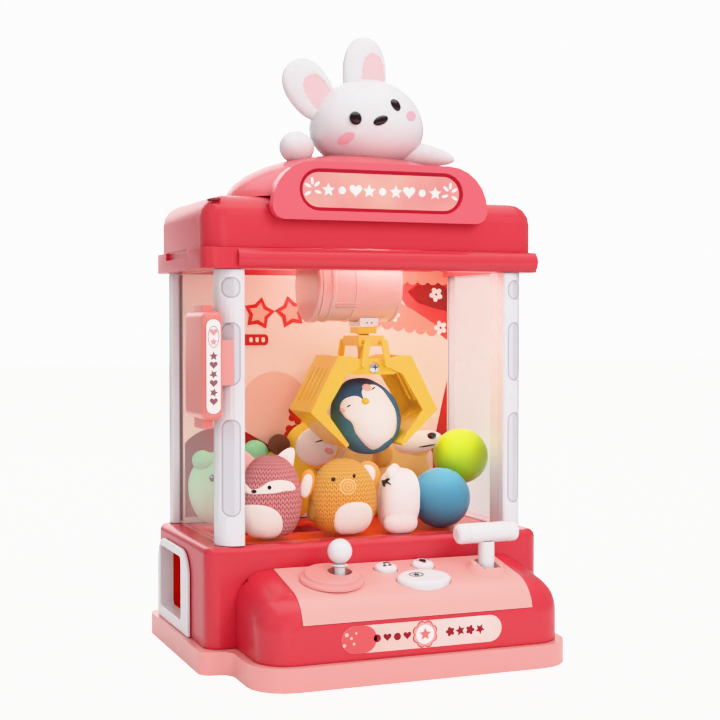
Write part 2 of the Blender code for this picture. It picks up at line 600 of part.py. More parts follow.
def jaw_slots():
    """Round-ended ways through the jaw's outer plates: outline in x, z and the middle in y."""
    top, elbow, tip = Vector((-0.0260, 0.1900)), Vector((-0.0450, 0.1535)), Vector((-0.0200, 0.1300))
    for start, end, places, reach in ((top, elbow, (-0.0120, -0.0040, 0.0040, 0.0120), (0.22, 0.82)),
                                      (elbow, tip, (-0.0070, 0.0070), (0.14, 0.36))):
        along = end - start
        across = Vector((along.y, -along.x)).normalized() * 0.0040
        low, high = start + along * reach[0], start + along * reach[1]
        outline = [low - across, high - across, high + across, low + across]
        for place in places:
            yield [tuple(p) for p in outline], place


def at_claw(outline, mirror):
    points = mirrored(outline) if mirror else outline
    return [(CLAW_X + x, z) for x, z in points]


def make_jaw(hand, mirror):
    side = 1 if mirror else -1
    cheek_out, cheek_in = 0.0215, 0.0195
    jaw = prism("claw_jaw_" + hand, at_claw(jaw_outline(), mirror), "y",
                CLAW_Y - cheek_out, CLAW_Y + cheek_out, YELLOW)
    cut(jaw, prism("jaw_hollow_" + hand, at_claw(jaw_hollow(), mirror), "y",
                   CLAW_Y - cheek_in, CLAW_Y + cheek_in, None))
    for number, (outline, place) in enumerate(jaw_slots()):
        cut(jaw, prism(f"jaw_slot_{hand}_{number}", at_claw(outline, mirror), "y",
                       CLAW_Y + place - 0.0011, CLAW_Y + place + 0.0011, None))

    link = None
    top = Vector((CLAW_X + side * 0.0060, 0.0, 0.1990))
    foot = Vector((CLAW_X + side * 0.0085, 0.0, 0.1845))
    lean = (top - foot).normalized()
    across = Vector((lean.z, 0.0, -lean.x))
    start = math.degrees(math.atan2(across.z, across.x))
    bar = arc((top.x, top.z), 0.0022, start, start + 180, 4)
    bar += arc((foot.x, foot.z), 0.0022, start + 180, start + 360, 4)
    for face in (-1, 1):
        y = sorted((CLAW_Y + face * 0.0220, CLAW_Y + face * 0.0236))
        piece = prism(f"claw_link_{hand}" if link is None else f"link_rear_{hand}", bar, "y",
                      y[0], y[1], YELLOW)
        if link is None:
            link = piece
        else:
            join(link, piece)
    join(link, cylinder("link_rod_" + hand, 0.0010, 0.0460, (top.x, CLAW_Y, top.z), None, "y", 10))
    return jaw


def make_claw():
    head = box("claw_head", (CLAW_X - 0.0066, CLAW_Y - 0.0080, 0.2045),
               (CLAW_X + 0.0066, CLAW_Y + 0.0080, 0.2090), YELLOW)
    join(head, box("head_post", (CLAW_X - 0.0030, CLAW_Y - 0.0030, 0.1780),
                   (CLAW_X + 0.0030, CLAW_Y + 0.0030, 0.2060)),
         box("head_bar", (CLAW_X - 0.0030, CLAW_Y - 0.0180, 0.1780),
             (CLAW_X + 0.0030, CLAW_Y + 0.0180, 0.1862)))
    half = [(0.0140, 0.1776), (0.0200, 0.1796), (0.0205, 0.1850), (0.0150, 0.1872), (0.0060, 0.1880)]
    yoke = [(CLAW_X + x, z) for x, z in half + mirrored(half)]
    for face, end in ((-1, "front"), (1, "rear")):
        y = sorted((CLAW_Y + face * 0.0170, CLAW_Y + face * 0.0190))
        join(head, prism("yoke_" + end, yoke, "y", y[0], y[1], None))
    turned("claw_screw", [(0.0, 0.0022), (0.0022, 0.0020), (0.0037, 0.0009), (0.0037, 0.0),
                          (0.0, 0.0)], CHROME, (CLAW_X, CLAW_Y - 0.0190 - GAP, 0.1822),
           (math.pi / 2, 0.0, 0.0), steps=16)
    collar = box("claw_collar", (CLAW_X - 0.0090, CLAW_Y - 0.0150, 0.1962),
                 (CLAW_X + 0.0090, CLAW_Y + 0.0150, 0.2032), YELLOW)
    cut(collar, box("collar_way", (CLAW_X - 0.0034, CLAW_Y - 0.0034, 0.19),
                    (CLAW_X + 0.0034, CLAW_Y + 0.0034, 0.21)))
    for side, hand in ((-1, "left"), (1, "right")):
        cut(collar, cylinder("collar_bore_" + hand, 0.0014, 0.05,
                             (CLAW_X + side * 0.0060, CLAW_Y, 0.1990), None, "y", 10))
    make_jaw("left", False)
    make_jaw("right", True)


# ---------------------------------------------------------------- roof and topper
def dome(name, grow, skin=None):
    return ellipsoid(name, (0.0, 0.0100, 0.2870), (0.0880 + grow, 0.0580 + grow, 0.0340 + grow),
                     skin, segments=32, rings=16)


def make_roof():
    side, front, rear = 0.1118, -0.0320, 0.0898
    roof = rounded_box("roof_cap", (-side, front, EAVE_TOP + GAP), (side, rear, ROOF_TOP), CORAL,
                       upright=0.0140, top=0.0135, segments=4)
    cut(roof, rounded_box("roof_inside", (-side + WALL, front + WALL, 0.24),
                          (side - WALL, rear - WALL, ROOF_TOP - WALL), upright=0.0115,
                          top=0.0115, segments=4))
    hood = dome("roof_hood", 0.0, LIGHT_CORAL)
    cut(hood, dome("hood_inside", -0.0022),
        box("hood_foot", (-0.12, -0.08, 0.20), (0.12, 0.10, ROOF_TOP + GAP)),
        box("hood_face", (-0.12, -0.08, 0.20), (0.12, -0.0282, 0.35)))

    outline = rounded_rectangle((-0.0722, 0.2750), (0.0722, 0.3110), (0.008, 0.008, 0.027, 0.027), 6)
    pill = rounded_rectangle((-0.0552, 0.2804), (0.0552, 0.3066), (0.0130,) * 4, 5)
    inside = rounded_rectangle((-0.0698, 0.2774), (0.0698, 0.3086), (0.006, 0.006, 0.0246, 0.0246), 5)
    sign = prism("marquee_sign", outline, "y", -0.0392, -0.0285, LIGHT_CORAL)
    cut(sign, prism("sign_recess", pill, "y", -0.05, -0.0377, None),
        prism("sign_inside", inside, "y", -0.0357, -0.02, None),
        box("sign_back", (-0.11, -0.0323, 0.25), (0.11, 0.0, ROOF_TOP + GAP)))


def make_topper():
    head_at = Vector((0.0080, 0.0092, 0.3400))
    head = ellipsoid("rabbit_body", head_at, (0.0375, 0.0330, 0.0300), RABBIT, segments=24, rings=14)
    join(head, ellipsoid("arm_left", (-0.0380, -0.0020, 0.3235), (0.0165, 0.0110, 0.0105),
                         turn=(0, 0, math.radians(15)), segments=16, rings=10),
         ellipsoid("arm_right", (0.0420, 0.0040, 0.3225), (0.0285, 0.0100, 0.0085),
                   turn=(0, math.radians(4), math.radians(-4)), segments=16, rings=10))
    cut(head, ellipsoid("rabbit_inside", head_at - Vector((0, 0, 0.0010)),
                        (0.0345, 0.0300, 0.0265), segments=20, rings=12), dome("rabbit_seat", GAP))
    for hand, centre, radii, lean in (
            ("left", (-0.0317, 0.0092, 0.3644), (0.0143, 0.0065, 0.0210), -34.6),
            ("right", (0.0065, 0.0092, 0.3740), (0.0138, 0.0065, 0.0260), 0.0)):
        ear = ellipsoid("rabbit_ear_" + hand, centre, radii, RABBIT,
                        turn=(0, math.radians(lean), 0), segments=16, rings=12)
        cut(ear, ellipsoid("ear_seat_" + hand, head_at, (0.0378, 0.0333, 0.0303), segments=24,
                           rings=14))


# ---------------------------------------------------------------- prizes
def make_prizes():
    """Soft toys and balls lying in the cabinet, and the toy that the claw holds."""
    lift = FLOOR_TOP + GAP
    ellipsoid("prize_penguin", (CLAW_X, CLAW_Y, 0.1495), (0.0220, 0.0182, 0.0262), PLUSH_BLUE)
    ellipsoid("prize_fox", (-0.0618, -0.0115, lift + 0.0265), (0.0232, 0.0118, 0.0265), PLUSH_PINK)
    ellipsoid("prize_orange_bear", (-0.0163, -0.0110, lift + 0.0245), (0.0221, 0.0122, 0.0245),
              PLUSH_ORANGE)
    ellipsoid("prize_white_cat", (0.0210, -0.0105, lift + 0.0180), (0.0135, 0.0125, 0.0180),
              PLUSH_WHITE)
    ellipsoid("prize_dinosaur", (-0.0790, 0.0670, lift + 0.0240), (0.0180, 0.0080, 0.0240),
              PLUSH_GREEN)
    ellipsoid("prize_yellow_duck", (-0.0310, 0.0670, lift + 0.0240), (0.0250, 0.0080, 0.0240),
              PLUSH_YELLOW)
    ellipsoid("prize_beige_dog", (0.0450, 0.0660, lift + 0.0300), (0.0330, 0.0090, 0.0300),
              PLUSH_BEIGE)
    ellipsoid("prize_blue_ball", (0.0555, -0.0038, lift + 0.0200), (0.0200,) * 3, BLUE_BALL)
    ellipsoid("prize_green_ball", (0.0793, 0.0150, lift + 0.0452), (0.0188,) * 3, GREEN_BALL)


def main():
    make_base()
    make_console()
    make_joystick()
    make_lever()
    make_cabinet()
    make_coin_box()
    make_eave()
    make_gantry()
    make_claw()
    make_roof()
    make_topper()
    make_prizes()
    bpy.context.view_layer.update()


main()
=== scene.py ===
"""Looks of the table-top claw crane machine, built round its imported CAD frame.

Everything is in metres in the row frame: +X to the player's right, +Y to the rear, +Z up.
CAD nodes keep their shapes and get rounded edges and procedural plastics. The topper, the soft
toys, the balls and the printed decoration are pieces of their own.
"""
import math

import bmesh
import bpy
from mathutils import Euler, Matrix, Vector, noise
from mathutils.bvhtree import BVHTree


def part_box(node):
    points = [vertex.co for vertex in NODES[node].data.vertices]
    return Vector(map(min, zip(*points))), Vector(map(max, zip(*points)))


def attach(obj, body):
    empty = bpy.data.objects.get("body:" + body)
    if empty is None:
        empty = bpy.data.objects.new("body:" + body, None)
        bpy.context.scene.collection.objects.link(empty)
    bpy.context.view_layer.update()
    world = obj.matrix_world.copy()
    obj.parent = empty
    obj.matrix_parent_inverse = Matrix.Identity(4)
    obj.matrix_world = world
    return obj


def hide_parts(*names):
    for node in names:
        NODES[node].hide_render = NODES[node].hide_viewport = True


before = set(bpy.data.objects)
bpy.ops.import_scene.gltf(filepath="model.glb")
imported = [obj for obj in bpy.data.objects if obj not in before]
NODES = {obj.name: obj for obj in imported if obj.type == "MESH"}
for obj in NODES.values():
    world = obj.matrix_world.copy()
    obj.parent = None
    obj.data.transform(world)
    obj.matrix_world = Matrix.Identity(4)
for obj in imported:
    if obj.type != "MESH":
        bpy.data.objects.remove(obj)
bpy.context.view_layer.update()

MM = 0.001


# --- camera, light and floor
def set_stage():
    camera = bpy.data.objects.new("camera", bpy.data.cameras.new("camera"))
    camera.location = (-0.3384, -0.8595, 0.2133)
    camera.rotation_euler = (math.radians(88.403), 0.0, math.radians(-21.479))
    camera.data.lens = 70.98
    camera.data.clip_start = 0.01
    bpy.context.scene.collection.objects.link(camera)
    bpy.context.scene.camera = camera

    world = bpy.data.worlds.new("studio")
    world.use_nodes = True
    sky = Nodes(world.node_tree)
    seen = sky.add("LightPath", {})
    ambient = sky.add("Background", {"Color": (1.0, 0.99, 0.99), "Strength": 0.42})
    through = sky.reach(seen.outputs["Transparent Depth"], 4.0, 1.05)
    paper = sky.add("Background", {"Strength": through})
    mixed = sky.add("MixShader", {0: seen.outputs["Is Camera Ray"], 1: ambient.outputs[0],
                                  2: paper.outputs[0]})
    sky.tree.links.new(mixed.outputs[0], sky.tree.nodes["World Output"].inputs["Surface"])
    bpy.context.scene.world = world
    bpy.context.scene.view_settings.view_transform = "Khronos PBR Neutral"

    for name, place, aim, size, power in (
            ("key_light", (0.50, -1.25, 1.00), (0, 0, 0.18), 0.80, 13.0),
            ("left_light", (-1.20, -0.35, 0.55), (0, 0, 0.20), 0.90, 2.6),
            ("front_light", (-0.35, -1.50, 0.35), (0, 0, 0.16), 0.80, 5.5),
            ("top_light", (-0.05, 0.00, 1.30), (0, 0, 0.20), 1.60, 12.0),
            ("rear_light", (0.20, 1.20, 0.70), (0, 0, 0.20), 1.20, 9.0),
            ("cabinet_light", (0.02, 0.022, 0.266), (0.01, 0.03, 0.1), 0.07, 0.55)):
        lamp = bpy.data.lights.new(name, "AREA")
        lamp.size = size
        lamp.energy = power
        lamp.color = (1.0, 0.93, 0.86) if name == "cabinet_light" else (1.0, 1.0, 1.0)
        light = bpy.data.objects.new(name, lamp)
        light.location = place
        light.rotation_euler = (Vector(aim) - Vector(place)).to_track_quat("-Z", "Y").to_euler()
        light.visible_camera = False
        light.visible_glossy = name in ("top_light", "rear_light")
        bpy.context.scene.collection.objects.link(light)

    paint = Skin("studio_floor", (0.76, 0.75, 0.75), {"Roughness": 0.6})
    paint.colour(paint.blend(paint.noise(3.0), (0.75, 0.74, 0.74), (0.78, 0.77, 0.77)))
    seen = paint.add("LightPath", {})
    through = paint.reach(seen.outputs["Transparent Depth"], 3.2, 1.0)
    glow = paint.add("Emission", {"Color": (1.0, 0.995, 0.99), "Strength": through})
    share = paint.math("MULTIPLY", seen.outputs["Is Camera Ray"], 0.82)
    mixed = paint.add("MixShader", {0: share, 1: paint.shader.outputs[0], 2: glow.outputs[0]})
    paint.tree.links.new(mixed.outputs[0], paint.tree.nodes["Material Output"].inputs["Surface"])
    shape = bmesh.new()
    bmesh.ops.create_grid(shape, x_segments=8, y_segments=8, size=6.0)
    floor = finish_mesh("studio_floor", shape, paint)


# --- materials
def srgb(red, green, blue):
    """A linear colour from a display colour in 0 to 255."""
    return tuple(((c / 255 + 0.055) / 1.055) ** 2.4 for c in (red, green, blue))


class Nodes:
    """Short names for the nodes of a material or world."""

    def __init__(self, tree):
        self.tree = tree

    def add(self, kind, inputs, **settings):
        made = self.tree.nodes.new("ShaderNode" + kind)
        for key, value in settings.items():
            setattr(made, key, value)
        for socket, value in inputs.items():
            if isinstance(value, bpy.types.NodeSocket):
                self.tree.links.new(value, made.inputs[socket])
            elif isinstance(value, tuple) and len(value) == 3 and made.inputs[socket].type == "RGBA":
                made.inputs[socket].default_value = (*value, 1.0)
            else:
                made.inputs[socket].default_value = value
        return made

    def math(self, operation, first, second=0.0):
        return self.add("Math", {0: first, 1: second}, operation=operation).outputs[0]

    def reach(self, value, low, high, start=0.0, end=1.0):
        return self.add("MapRange", {"Value": value, "From Min": start, "From Max": end,
                                     "To Min": low, "To Max": high}).outputs[0]

    def blend(self, factor, first, second):
        made = self.add("Mix", {"Factor": factor}, data_type="RGBA")
        for socket, value in ((6, first), (7, second)):
            if isinstance(value, tuple):
                made.inputs[socket].default_value = (*value, 1.0)
            else:
                self.tree.links.new(value, made.inputs[socket])
        return made.outputs[2]


class Skin(Nodes):
    """A Principled material that varies over the surface, and the slot of soft pieces in it."""

    def __init__(self, name, colour, values=None, slot=None):
        self.material = bpy.data.materials.new(name)
        self.material.use_nodes = True
        super().__init__(self.material.node_tree)
        self.slot = slot
        self.shader = self.tree.nodes["Principled BSDF"]
        self.shader.inputs["Base Color"].default_value = (*colour, 1.0)
        for socket, value in (values or {}).items():
            self.shader.inputs[socket].default_value = value
        texture = self.tree.nodes.new("ShaderNodeTexCoord")
        self.place = texture.outputs["Object"]
        self.uv = texture.outputs["UV"]

    def noise(self, scale, detail=2.0, stretch=(1.0, 1.0, 1.0)):
        place = self.add("Mapping", {"Vector": self.place, "Scale": stretch})
        return self.add("TexNoise", {"Vector": place.outputs[0], "Scale": scale,
                                     "Detail": detail}).outputs["Fac"]

    def height(self):
        return self.add("SeparateXYZ", {"Vector": self.place}).outputs["Z"]

    def colour(self, value):
        self.tree.links.new(value, self.shader.inputs["Base Color"])

    def rough(self, value):
        self.tree.links.new(value, self.shader.inputs["Roughness"])

    def bump(self, value, depth, strength=1.0):
        made = self.add("Bump", {"Height": value, "Strength": strength, "Distance": depth})
        self.tree.links.new(made.outputs[0], self.shader.inputs["Normal"])


def shade(colour, factor):
    return tuple(min(1.0, c * factor) for c in colour)


def moulded(name, colour, roughness=0.26, coat=0.5, drift=0.02, grain=0.012, soft=0.0):
    """Injection-moulded plastic: slow colour drift, satin variation and a very fine grain."""
    skin = Skin(name, colour, {"Coat Weight": coat, "Coat Roughness": 0.24, "Specular IOR Level": 0.4,
                               "Subsurface Weight": soft, "Subsurface Scale": 0.004})
    skin.colour(skin.blend(skin.noise(9.0), shade(colour, 1 - drift), shade(colour, 1 + drift)))
    skin.rough(skin.reach(skin.noise(24.0, 2.0), roughness - 0.01, roughness + 0.02))
    skin.bump(skin.noise(900.0, 2.0), 0.00004, grain)
    return skin


def clear_sheet(name, tint, painted_reflection):
    """Clear polished sheet: nearly invisible face on, with a painted reflection that makes it hazier and
    rosier at a shallow angle.
    """
    skin = Skin(name, tint, {"Specular IOR Level": 0.25})
    facing = skin.add("LayerWeight", {"Blend": 0.30}).outputs["Facing"]
    streaks = skin.noise(14.0, 3.0, (1.0, 1.0, 0.25))
    # painted reflection: the rosy tint grows opaque towards a shallow angle
    grazing_reflection = skin.math("MULTIPLY", skin.math("POWER", facing, 1.7), painted_reflection)
    alpha = skin.math("ADD", grazing_reflection, skin.reach(streaks, 0.008, 0.02))
    skin.tree.links.new(alpha, skin.shader.inputs["Alpha"])
    skin.rough(skin.reach(streaks, 0.03, 0.07))
    return skin


def pile(name, slot, low, high, bottom, top):
    """Short-pile plush, whose colour drifts with height, with lighter and darker tufts."""
    skin = Skin(name, high, {"Roughness": 0.9, "Sheen Weight": 0.45, "Sheen Roughness": 0.45,
                             "Sheen Tint": (*shade(high, 1.3), 1.0)}, slot)
    rise = skin.reach(skin.height(), 0.0, 1.0, bottom, top)
    tufts = skin.noise(1500.0, 4.0)
    base = skin.blend(rise, low, high)
    skin.colour(skin.blend(skin.math("MULTIPLY", skin.reach(tufts, 0.0, 1.0, 0.4, 0.7), 0.35),
                           base, shade(high, 1.25)))
    skin.bump(tufts, 0.0006, 0.55)
    return skin


def knitted(name, slot, shaded_valley, ridge, columns, rows, low_tint=None):
    """Knitted plush: columns of slanting stitches that meet in chevrons, on the piece's UV grid, with
    painted shade in the valleys between the stitches.
    """
    skin = Skin(name, ridge, {"Roughness": 0.85, "Sheen Weight": 0.25, "Sheen Roughness": 0.5,
                              "Sheen Tint": (*shade(ridge, 1.2), 1.0)}, slot)
    grid = skin.add("SeparateXYZ", {"Vector": skin.uv})
    along = skin.math("MULTIPLY", grid.outputs["X"], float(columns))
    side = skin.math("ABSOLUTE", skin.math("SUBTRACT", skin.math("FRACT", along), 0.5))
    up = skin.math("MULTIPLY", grid.outputs["Y"], float(rows))
    slant = skin.math("ADD", up, skin.math("MULTIPLY", side, 1.5))
    stitch = skin.math("SINE", skin.math("MULTIPLY", skin.math("FRACT", slant), math.pi))
    rib = skin.math("SINE", skin.math("MULTIPLY", side, 2 * math.pi))
    yarn = skin.math("MULTIPLY", skin.math("POWER", stitch, 0.9), skin.math("POWER", rib, 0.6))
    # painted shade: the darker valley colour fills the crevices between stitches
    tone = skin.blend(skin.reach(yarn, 0.0, 1.0, 0.12, 0.72), shaded_valley, ridge)
    if low_tint:
        tone = skin.blend(skin.reach(skin.height(), 0.55, 0.0, 0.078, 0.115), tone, low_tint)
    skin.colour(tone)
    skin.bump(skin.math("ADD", yarn, skin.math("MULTIPLY", skin.noise(3000.0), 0.2)), 0.0009, 0.9)
    return skin


def printed(name, colour, second=None, gloss=0.35):
    """Ink on film, with a faint speckle; with a second colour it fades from one to the other."""
    skin = Skin(name, colour, {"Roughness": gloss})
    speckle = skin.noise(700.0, 3.0)
    drift = skin.reach(skin.noise(22.0), 0.0, 1.0, 0.35, 0.65)
    tone = skin.blend(drift, shade(colour, 0.96), second or shade(colour, 1.04))
    skin.colour(skin.blend(skin.math("MULTIPLY", speckle, 0.08), tone, shade(colour, 0.85)))
    skin.bump(speckle, 0.00003, 0.2)
    return skin


CORAL = moulded("coral_moulding", srgb(205, 68, 78), coat=0.2)
LIGHT_CORAL = moulded("light_coral_moulding", srgb(236, 112, 120), coat=0.7)
SIGN_CORAL = moulded("sign_moulding", srgb(236, 104, 118))
BLUSH = moulded("blush_moulding", srgb(242, 168, 164), 0.30)
# a lighter copy of the blush moulding: painted light standing in for the control panel's top-lit
# highlight
BLUSH_TOP_LIT = moulded("blush_moulding_top_lit", srgb(244, 184, 178), 0.26)
MAGAZINE = moulded("magazine_moulding", srgb(236, 140, 132), 0.28)
WHITE = moulded("white_moulding", srgb(222, 221, 224), 0.26, soft=0.1)
CARRIAGE = moulded("carriage_moulding", srgb(224, 174, 165), 0.18, 0.9, soft=0.3)
YELLOW = moulded("yellow_moulding", srgb(252, 206, 56), 0.30, 0.3, soft=0.15)
BLACK = moulded("black_moulding", srgb(30, 24, 24), 0.4)
# the right window gets a stronger painted reflection than the left and front windows
CLEAR = clear_sheet("clear_sheet", (0.84, 0.76, 0.74), 0.5)
CLEAR_RIGHT = clear_sheet("clear_sheet_right", (0.80, 0.72, 0.71), 0.95)
RABBIT = moulded("topper_vinyl", srgb(216, 214, 216), 0.42, 0.05, 0.015, 0.05, soft=0.25)
EAR_PINK = moulded("topper_inner_ear", srgb(240, 206, 210), 0.45, 0.05, soft=0.2)
CHEEK = moulded("topper_cheek", srgb(234, 180, 192), 0.5, 0.0, soft=0.2)
EYE = moulded("glossy_eye", srgb(40, 26, 28), 0.1, 1.0)
FLOOR_RED = moulded("prize_floor_moulding", srgb(250, 58, 22), 0.42, 0.15)


def outlet_skin():
    """White frame whose sleeve turns red where it meets the chute."""
    skin = moulded("outlet_moulding", srgb(226, 224, 227), 0.26, soft=0.1)
    across = skin.add("SeparateXYZ", {"Vector": skin.place}).outputs["X"]
    share = skin.reach(across, 0.0, 1.0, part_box("outlet_frame")[0].x + 0.0090,
                       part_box("outlet_frame")[0].x + 0.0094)
    base = skin.blend(skin.noise(9.0), srgb(224, 222, 225), srgb(228, 226, 229))
    skin.colour(skin.blend(share, base, srgb(206, 34, 24)))
    return skin


def pillar_skin(hand):
    """White moulding with painted shade in the pillar's long round-ended grooves: darker at their walls,
    a little greyer across their floors.
    """
    skin = moulded(f"pillar_moulding_{hand}", srgb(220, 219, 223), 0.26, soft=0.1)
    low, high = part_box("pillar_front_" + hand)
    place = skin.add("SeparateXYZ", {"Vector": skin.place})
    middle = (low.x + high.x) / 2
    across = skin.math("ABSOLUTE", skin.math("SUBTRACT", place.outputs["X"], middle))
    share = inner = None
    for foot, top in ((0.0940, 0.1530), (0.1740, 0.2120), (0.2270, 0.2395)):
        mid, half = (foot + top) / 2, (top - foot) / 2 - 0.0052
        beyond = skin.math("MAXIMUM", skin.math("SUBTRACT", skin.math(
            "ABSOLUTE", skin.math("SUBTRACT", place.outputs["Z"], mid)), half), 0.0)
        reach = skin.math("POWER", skin.math("ADD", skin.math("POWER", beyond, 2.0),
                                             skin.math("POWER", across, 2.0)), 0.5)
        part, core = (skin.reach(reach, 1.0, 0.0, r, r + 0.0004) for r in (0.0052, 0.0043))
        share = part if share is None else skin.math("MAXIMUM", share, part)
        inner = core if inner is None else skin.math("MAXIMUM", inner, core)
    base = skin.blend(skin.noise(9.0), srgb(217, 216, 220), srgb(222, 221, 225))
    # painted shade in the grooves: a dark grey over each groove, a paler grey in its middle
    groove_shade = skin.blend(share, base, srgb(178, 174, 182))
    skin.colour(skin.blend(inner, groove_shade, srgb(206, 204, 209)))
    return skin


def metal(name, colour, roughness, scratch):
    skin = Skin(name, colour, {"Metallic": 1.0})
    lines = skin.noise(900.0, 3.0, scratch)
    skin.rough(skin.reach(lines, roughness, roughness + 0.15, 0.3, 0.7))
    skin.colour(skin.blend(lines, shade(colour, 0.9), shade(colour, 1.08)))
    skin.bump(lines, 0.00004, 0.15)
    return skin


CHROME = metal("chrome_screw", (0.86, 0.86, 0.88), 0.08, (1.0, 1.0, 1.0))
STEEL = metal("motor_steel", (0.55, 0.55, 0.56), 0.28, (0.05, 1.0, 1.0))


# --- mesh tools
def finish_mesh(name, shape, skin, sharp=None):
    mesh = bpy.data.meshes.new(name)
    shape.to_mesh(mesh)
    shape.free()
    mesh.materials.append(skin.material)
    mesh.shade_smooth()
    if sharp is not None:
        mesh.set_sharp_from_angle(angle=math.radians(sharp))
    piece = bpy.data.objects.new(name, mesh)
    bpy.context.scene.collection.objects.link(piece)
    return piece


def belongs(piece, body, slot, *nodes):
    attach(piece, body)
    if nodes:
        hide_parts(*nodes)
    return piece


def dress(name, skin, edge):
    """A CAD node in its final plastic, its sharp edges rounded by edge millimetres."""
    node = NODES[name]
    mesh = node.data
    for attribute in ("custom_normal", "sharp_edge", "sharp_face"):
        if attribute in mesh.attributes:
            mesh.attributes.remove(mesh.attributes[attribute])
    mesh.shade_smooth()
    mesh.materials.clear()
    mesh.materials.append(skin.material)
    node.modifiers.new("weld", "WELD").merge_threshold = 1e-6
    if edge:
        bevel = node.modifiers.new("rounded_edges", "BEVEL")
        bevel.width = edge * MM
        bevel.segments = 2
        bevel.limit_method = "ANGLE"
        bevel.angle_limit = math.radians(32.0)
        bevel.use_clamp_overlap = True
        bevel.harden_normals = True
    node.modifiers.new("flat_faces", "WEIGHTED_NORMAL").keep_sharp = True


def blob(name, form, skin, columns=96, rows=60):
    """A closed round shape; form turns a unit direction into a point."""
    shape = bmesh.new()
    layer = shape.loops.layers.uv.new("UVMap")
    top, foot = (shape.verts.new(form(Vector((0, 0, z)))) for z in (1, -1))
    lines = []
    for row in range(1, rows):
        tilt = math.pi * row / rows
        turns = [2 * math.pi * c / columns for c in range(columns)]
        lines.append([shape.verts.new(form(Vector((math.sin(tilt) * math.sin(a),
                                                   -math.sin(tilt) * math.cos(a),
                                                   math.cos(tilt))))) for a in turns])

    def face(corners):
        made = shape.faces.new([vertex for vertex, _, _ in corners])
        for loop, (_, u, v) in zip(made.loops, corners):
            loop[layer].uv = (u, v)

    for c in range(columns):
        d = (c + 1) % columns
        u0, u1 = c / columns, (c + 1) / columns
        face([(top, (u0 + u1) / 2, 1.0), (lines[0][c], u0, 1 - 1 / rows),
              (lines[0][d], u1, 1 - 1 / rows)])
        for row in range(rows - 2):
            v0, v1 = 1 - (row + 1) / rows, 1 - (row + 2) / rows
            face([(lines[row][c], u0, v0), (lines[row + 1][c], u0, v1),
                  (lines[row + 1][d], u1, v1), (lines[row][d], u1, v0)])
        face([(foot, (u0 + u1) / 2, 0.0), (lines[-1][d], u1, 1 / rows), (lines[-1][c], u0, 1 / rows)])
    return finish_mesh(name, shape, skin)


def rounded(centre, radii, power=2.0, turn=(0, 0, 0), flat=None, lumps=0.0, taper=0.0):
    """A form for blob: a superellipsoid, flattened underneath, with gentle lumps, all in mm."""
    centre, radii = Vector(centre), Vector(radii)
    spin = Euler([math.radians(a) for a in turn]).to_matrix()

    def form(direction):
        total = sum(abs(c) ** power for c in direction)
        point = direction / total ** (1 / power)
        slim = 1 - taper * point.z
        point = spin @ Vector((point.x * radii.x * slim, point.y * radii.y * slim, point.z * radii.z))
        if lumps:
            point *= 1 + lumps * noise.noise(point * 0.09)
        if flat is not None and point.z < -flat:
            point.z = -flat + (point.z + flat) * 0.25
        return (centre + point) * MM

    return form


class Host:
    """A piece that others are laid on: finds its surface along its facing direction."""

    def __init__(self, piece, centre, yaw=0.0, roll=0.0):
        self.centre = Vector(centre) * MM
        turn = (Matrix.Rotation(math.radians(yaw), 3, "Z")
                @ Matrix.Rotation(math.radians(roll), 3, "Y"))
        self.right, self.back, self.up = turn.col[0], turn.col[1], turn.col[2]
        mesh = piece.data
        self.tree = BVHTree.FromPolygons([v.co for v in mesh.vertices],
                                         [p.vertices for p in mesh.polygons])

    def nearest(self, x, z):
        """The surface point and normal at x to the right and z up of the centre, in mm, pulled
        back towards the centre where that misses the surface."""
        for share in (1.0, 0.97, 0.94, 0.9, 0.85, 0.8, 0.7, 0.6, 0.4):
            start = (self.centre + self.right * (x * share * MM) + self.up * (z * share * MM)
                     - self.back * 0.2)
            point, normal, _, _ = self.tree.ray_cast(start, self.back)
            if point is not None:
                return point, normal
        return self.centre, -self.back


def oval(width, height, centre=(0, 0), turn=0.0, points=40, power=2.0):
    """An outline in mm: an ellipse or superellipse about a centre."""
    spin = math.radians(turn)
    outline = []
    for i in range(points):
        a = 2 * math.pi * i / points
        x = width / 2 * math.copysign(abs(math.cos(a)) ** (2 / power), math.cos(a))
        z = height / 2 * math.copysign(abs(math.sin(a)) ** (2 / power), math.sin(a))
        outline.append((centre[0] + x * math.cos(spin) - z * math.sin(spin),
                        centre[1] + x * math.sin(spin) + z * math.cos(spin)))
    return outline


def applique(name, host, outline, skin, lift=0.5, sink=0.5, rings=10):
    """A patch that follows its host's surface, padded in the middle and tucked in at its rim."""
    middle = [sum(c) / len(outline) for c in zip(*outline)]
    shape = bmesh.new()
    point, normal = host.nearest(*middle)
    hub = shape.verts.new(point + normal * (lift * MM))
    circles = []
    for ring in range(1, rings + 1):
        share = ring / rings
        rise = lift * (1 - share ** 8) ** 0.5 - (sink if share == 1 else 0)
        line = []
        for x, z in outline:
            point, normal = host.nearest(middle[0] + (x - middle[0]) * share,
                                         middle[1] + (z - middle[1]) * share)
            line.append(shape.verts.new(point + normal * (rise * MM)))
        circles.append(line)
    count = len(outline)
    for i in range(count):
        j = (i + 1) % count
        shape.faces.new((hub, circles[0][i], circles[0][j]))
        for one, two in zip(circles, circles[1:]):
            shape.faces.new((one[i], two[i], two[j], one[j]))
    depth = host.back * (1.2 * MM)
    under = [shape.verts.new(v.co + depth) for v in circles[-1]]
    for i in range(count):
        j = (i + 1) % count
        shape.faces.new((circles[-1][i], under[i], under[j], circles[-1][j]))
    shape.faces.new(list(reversed(under)))
    bmesh.ops.recalc_face_normals(shape, faces=shape.faces[:])
    return finish_mesh(name, shape, skin, 60.0)


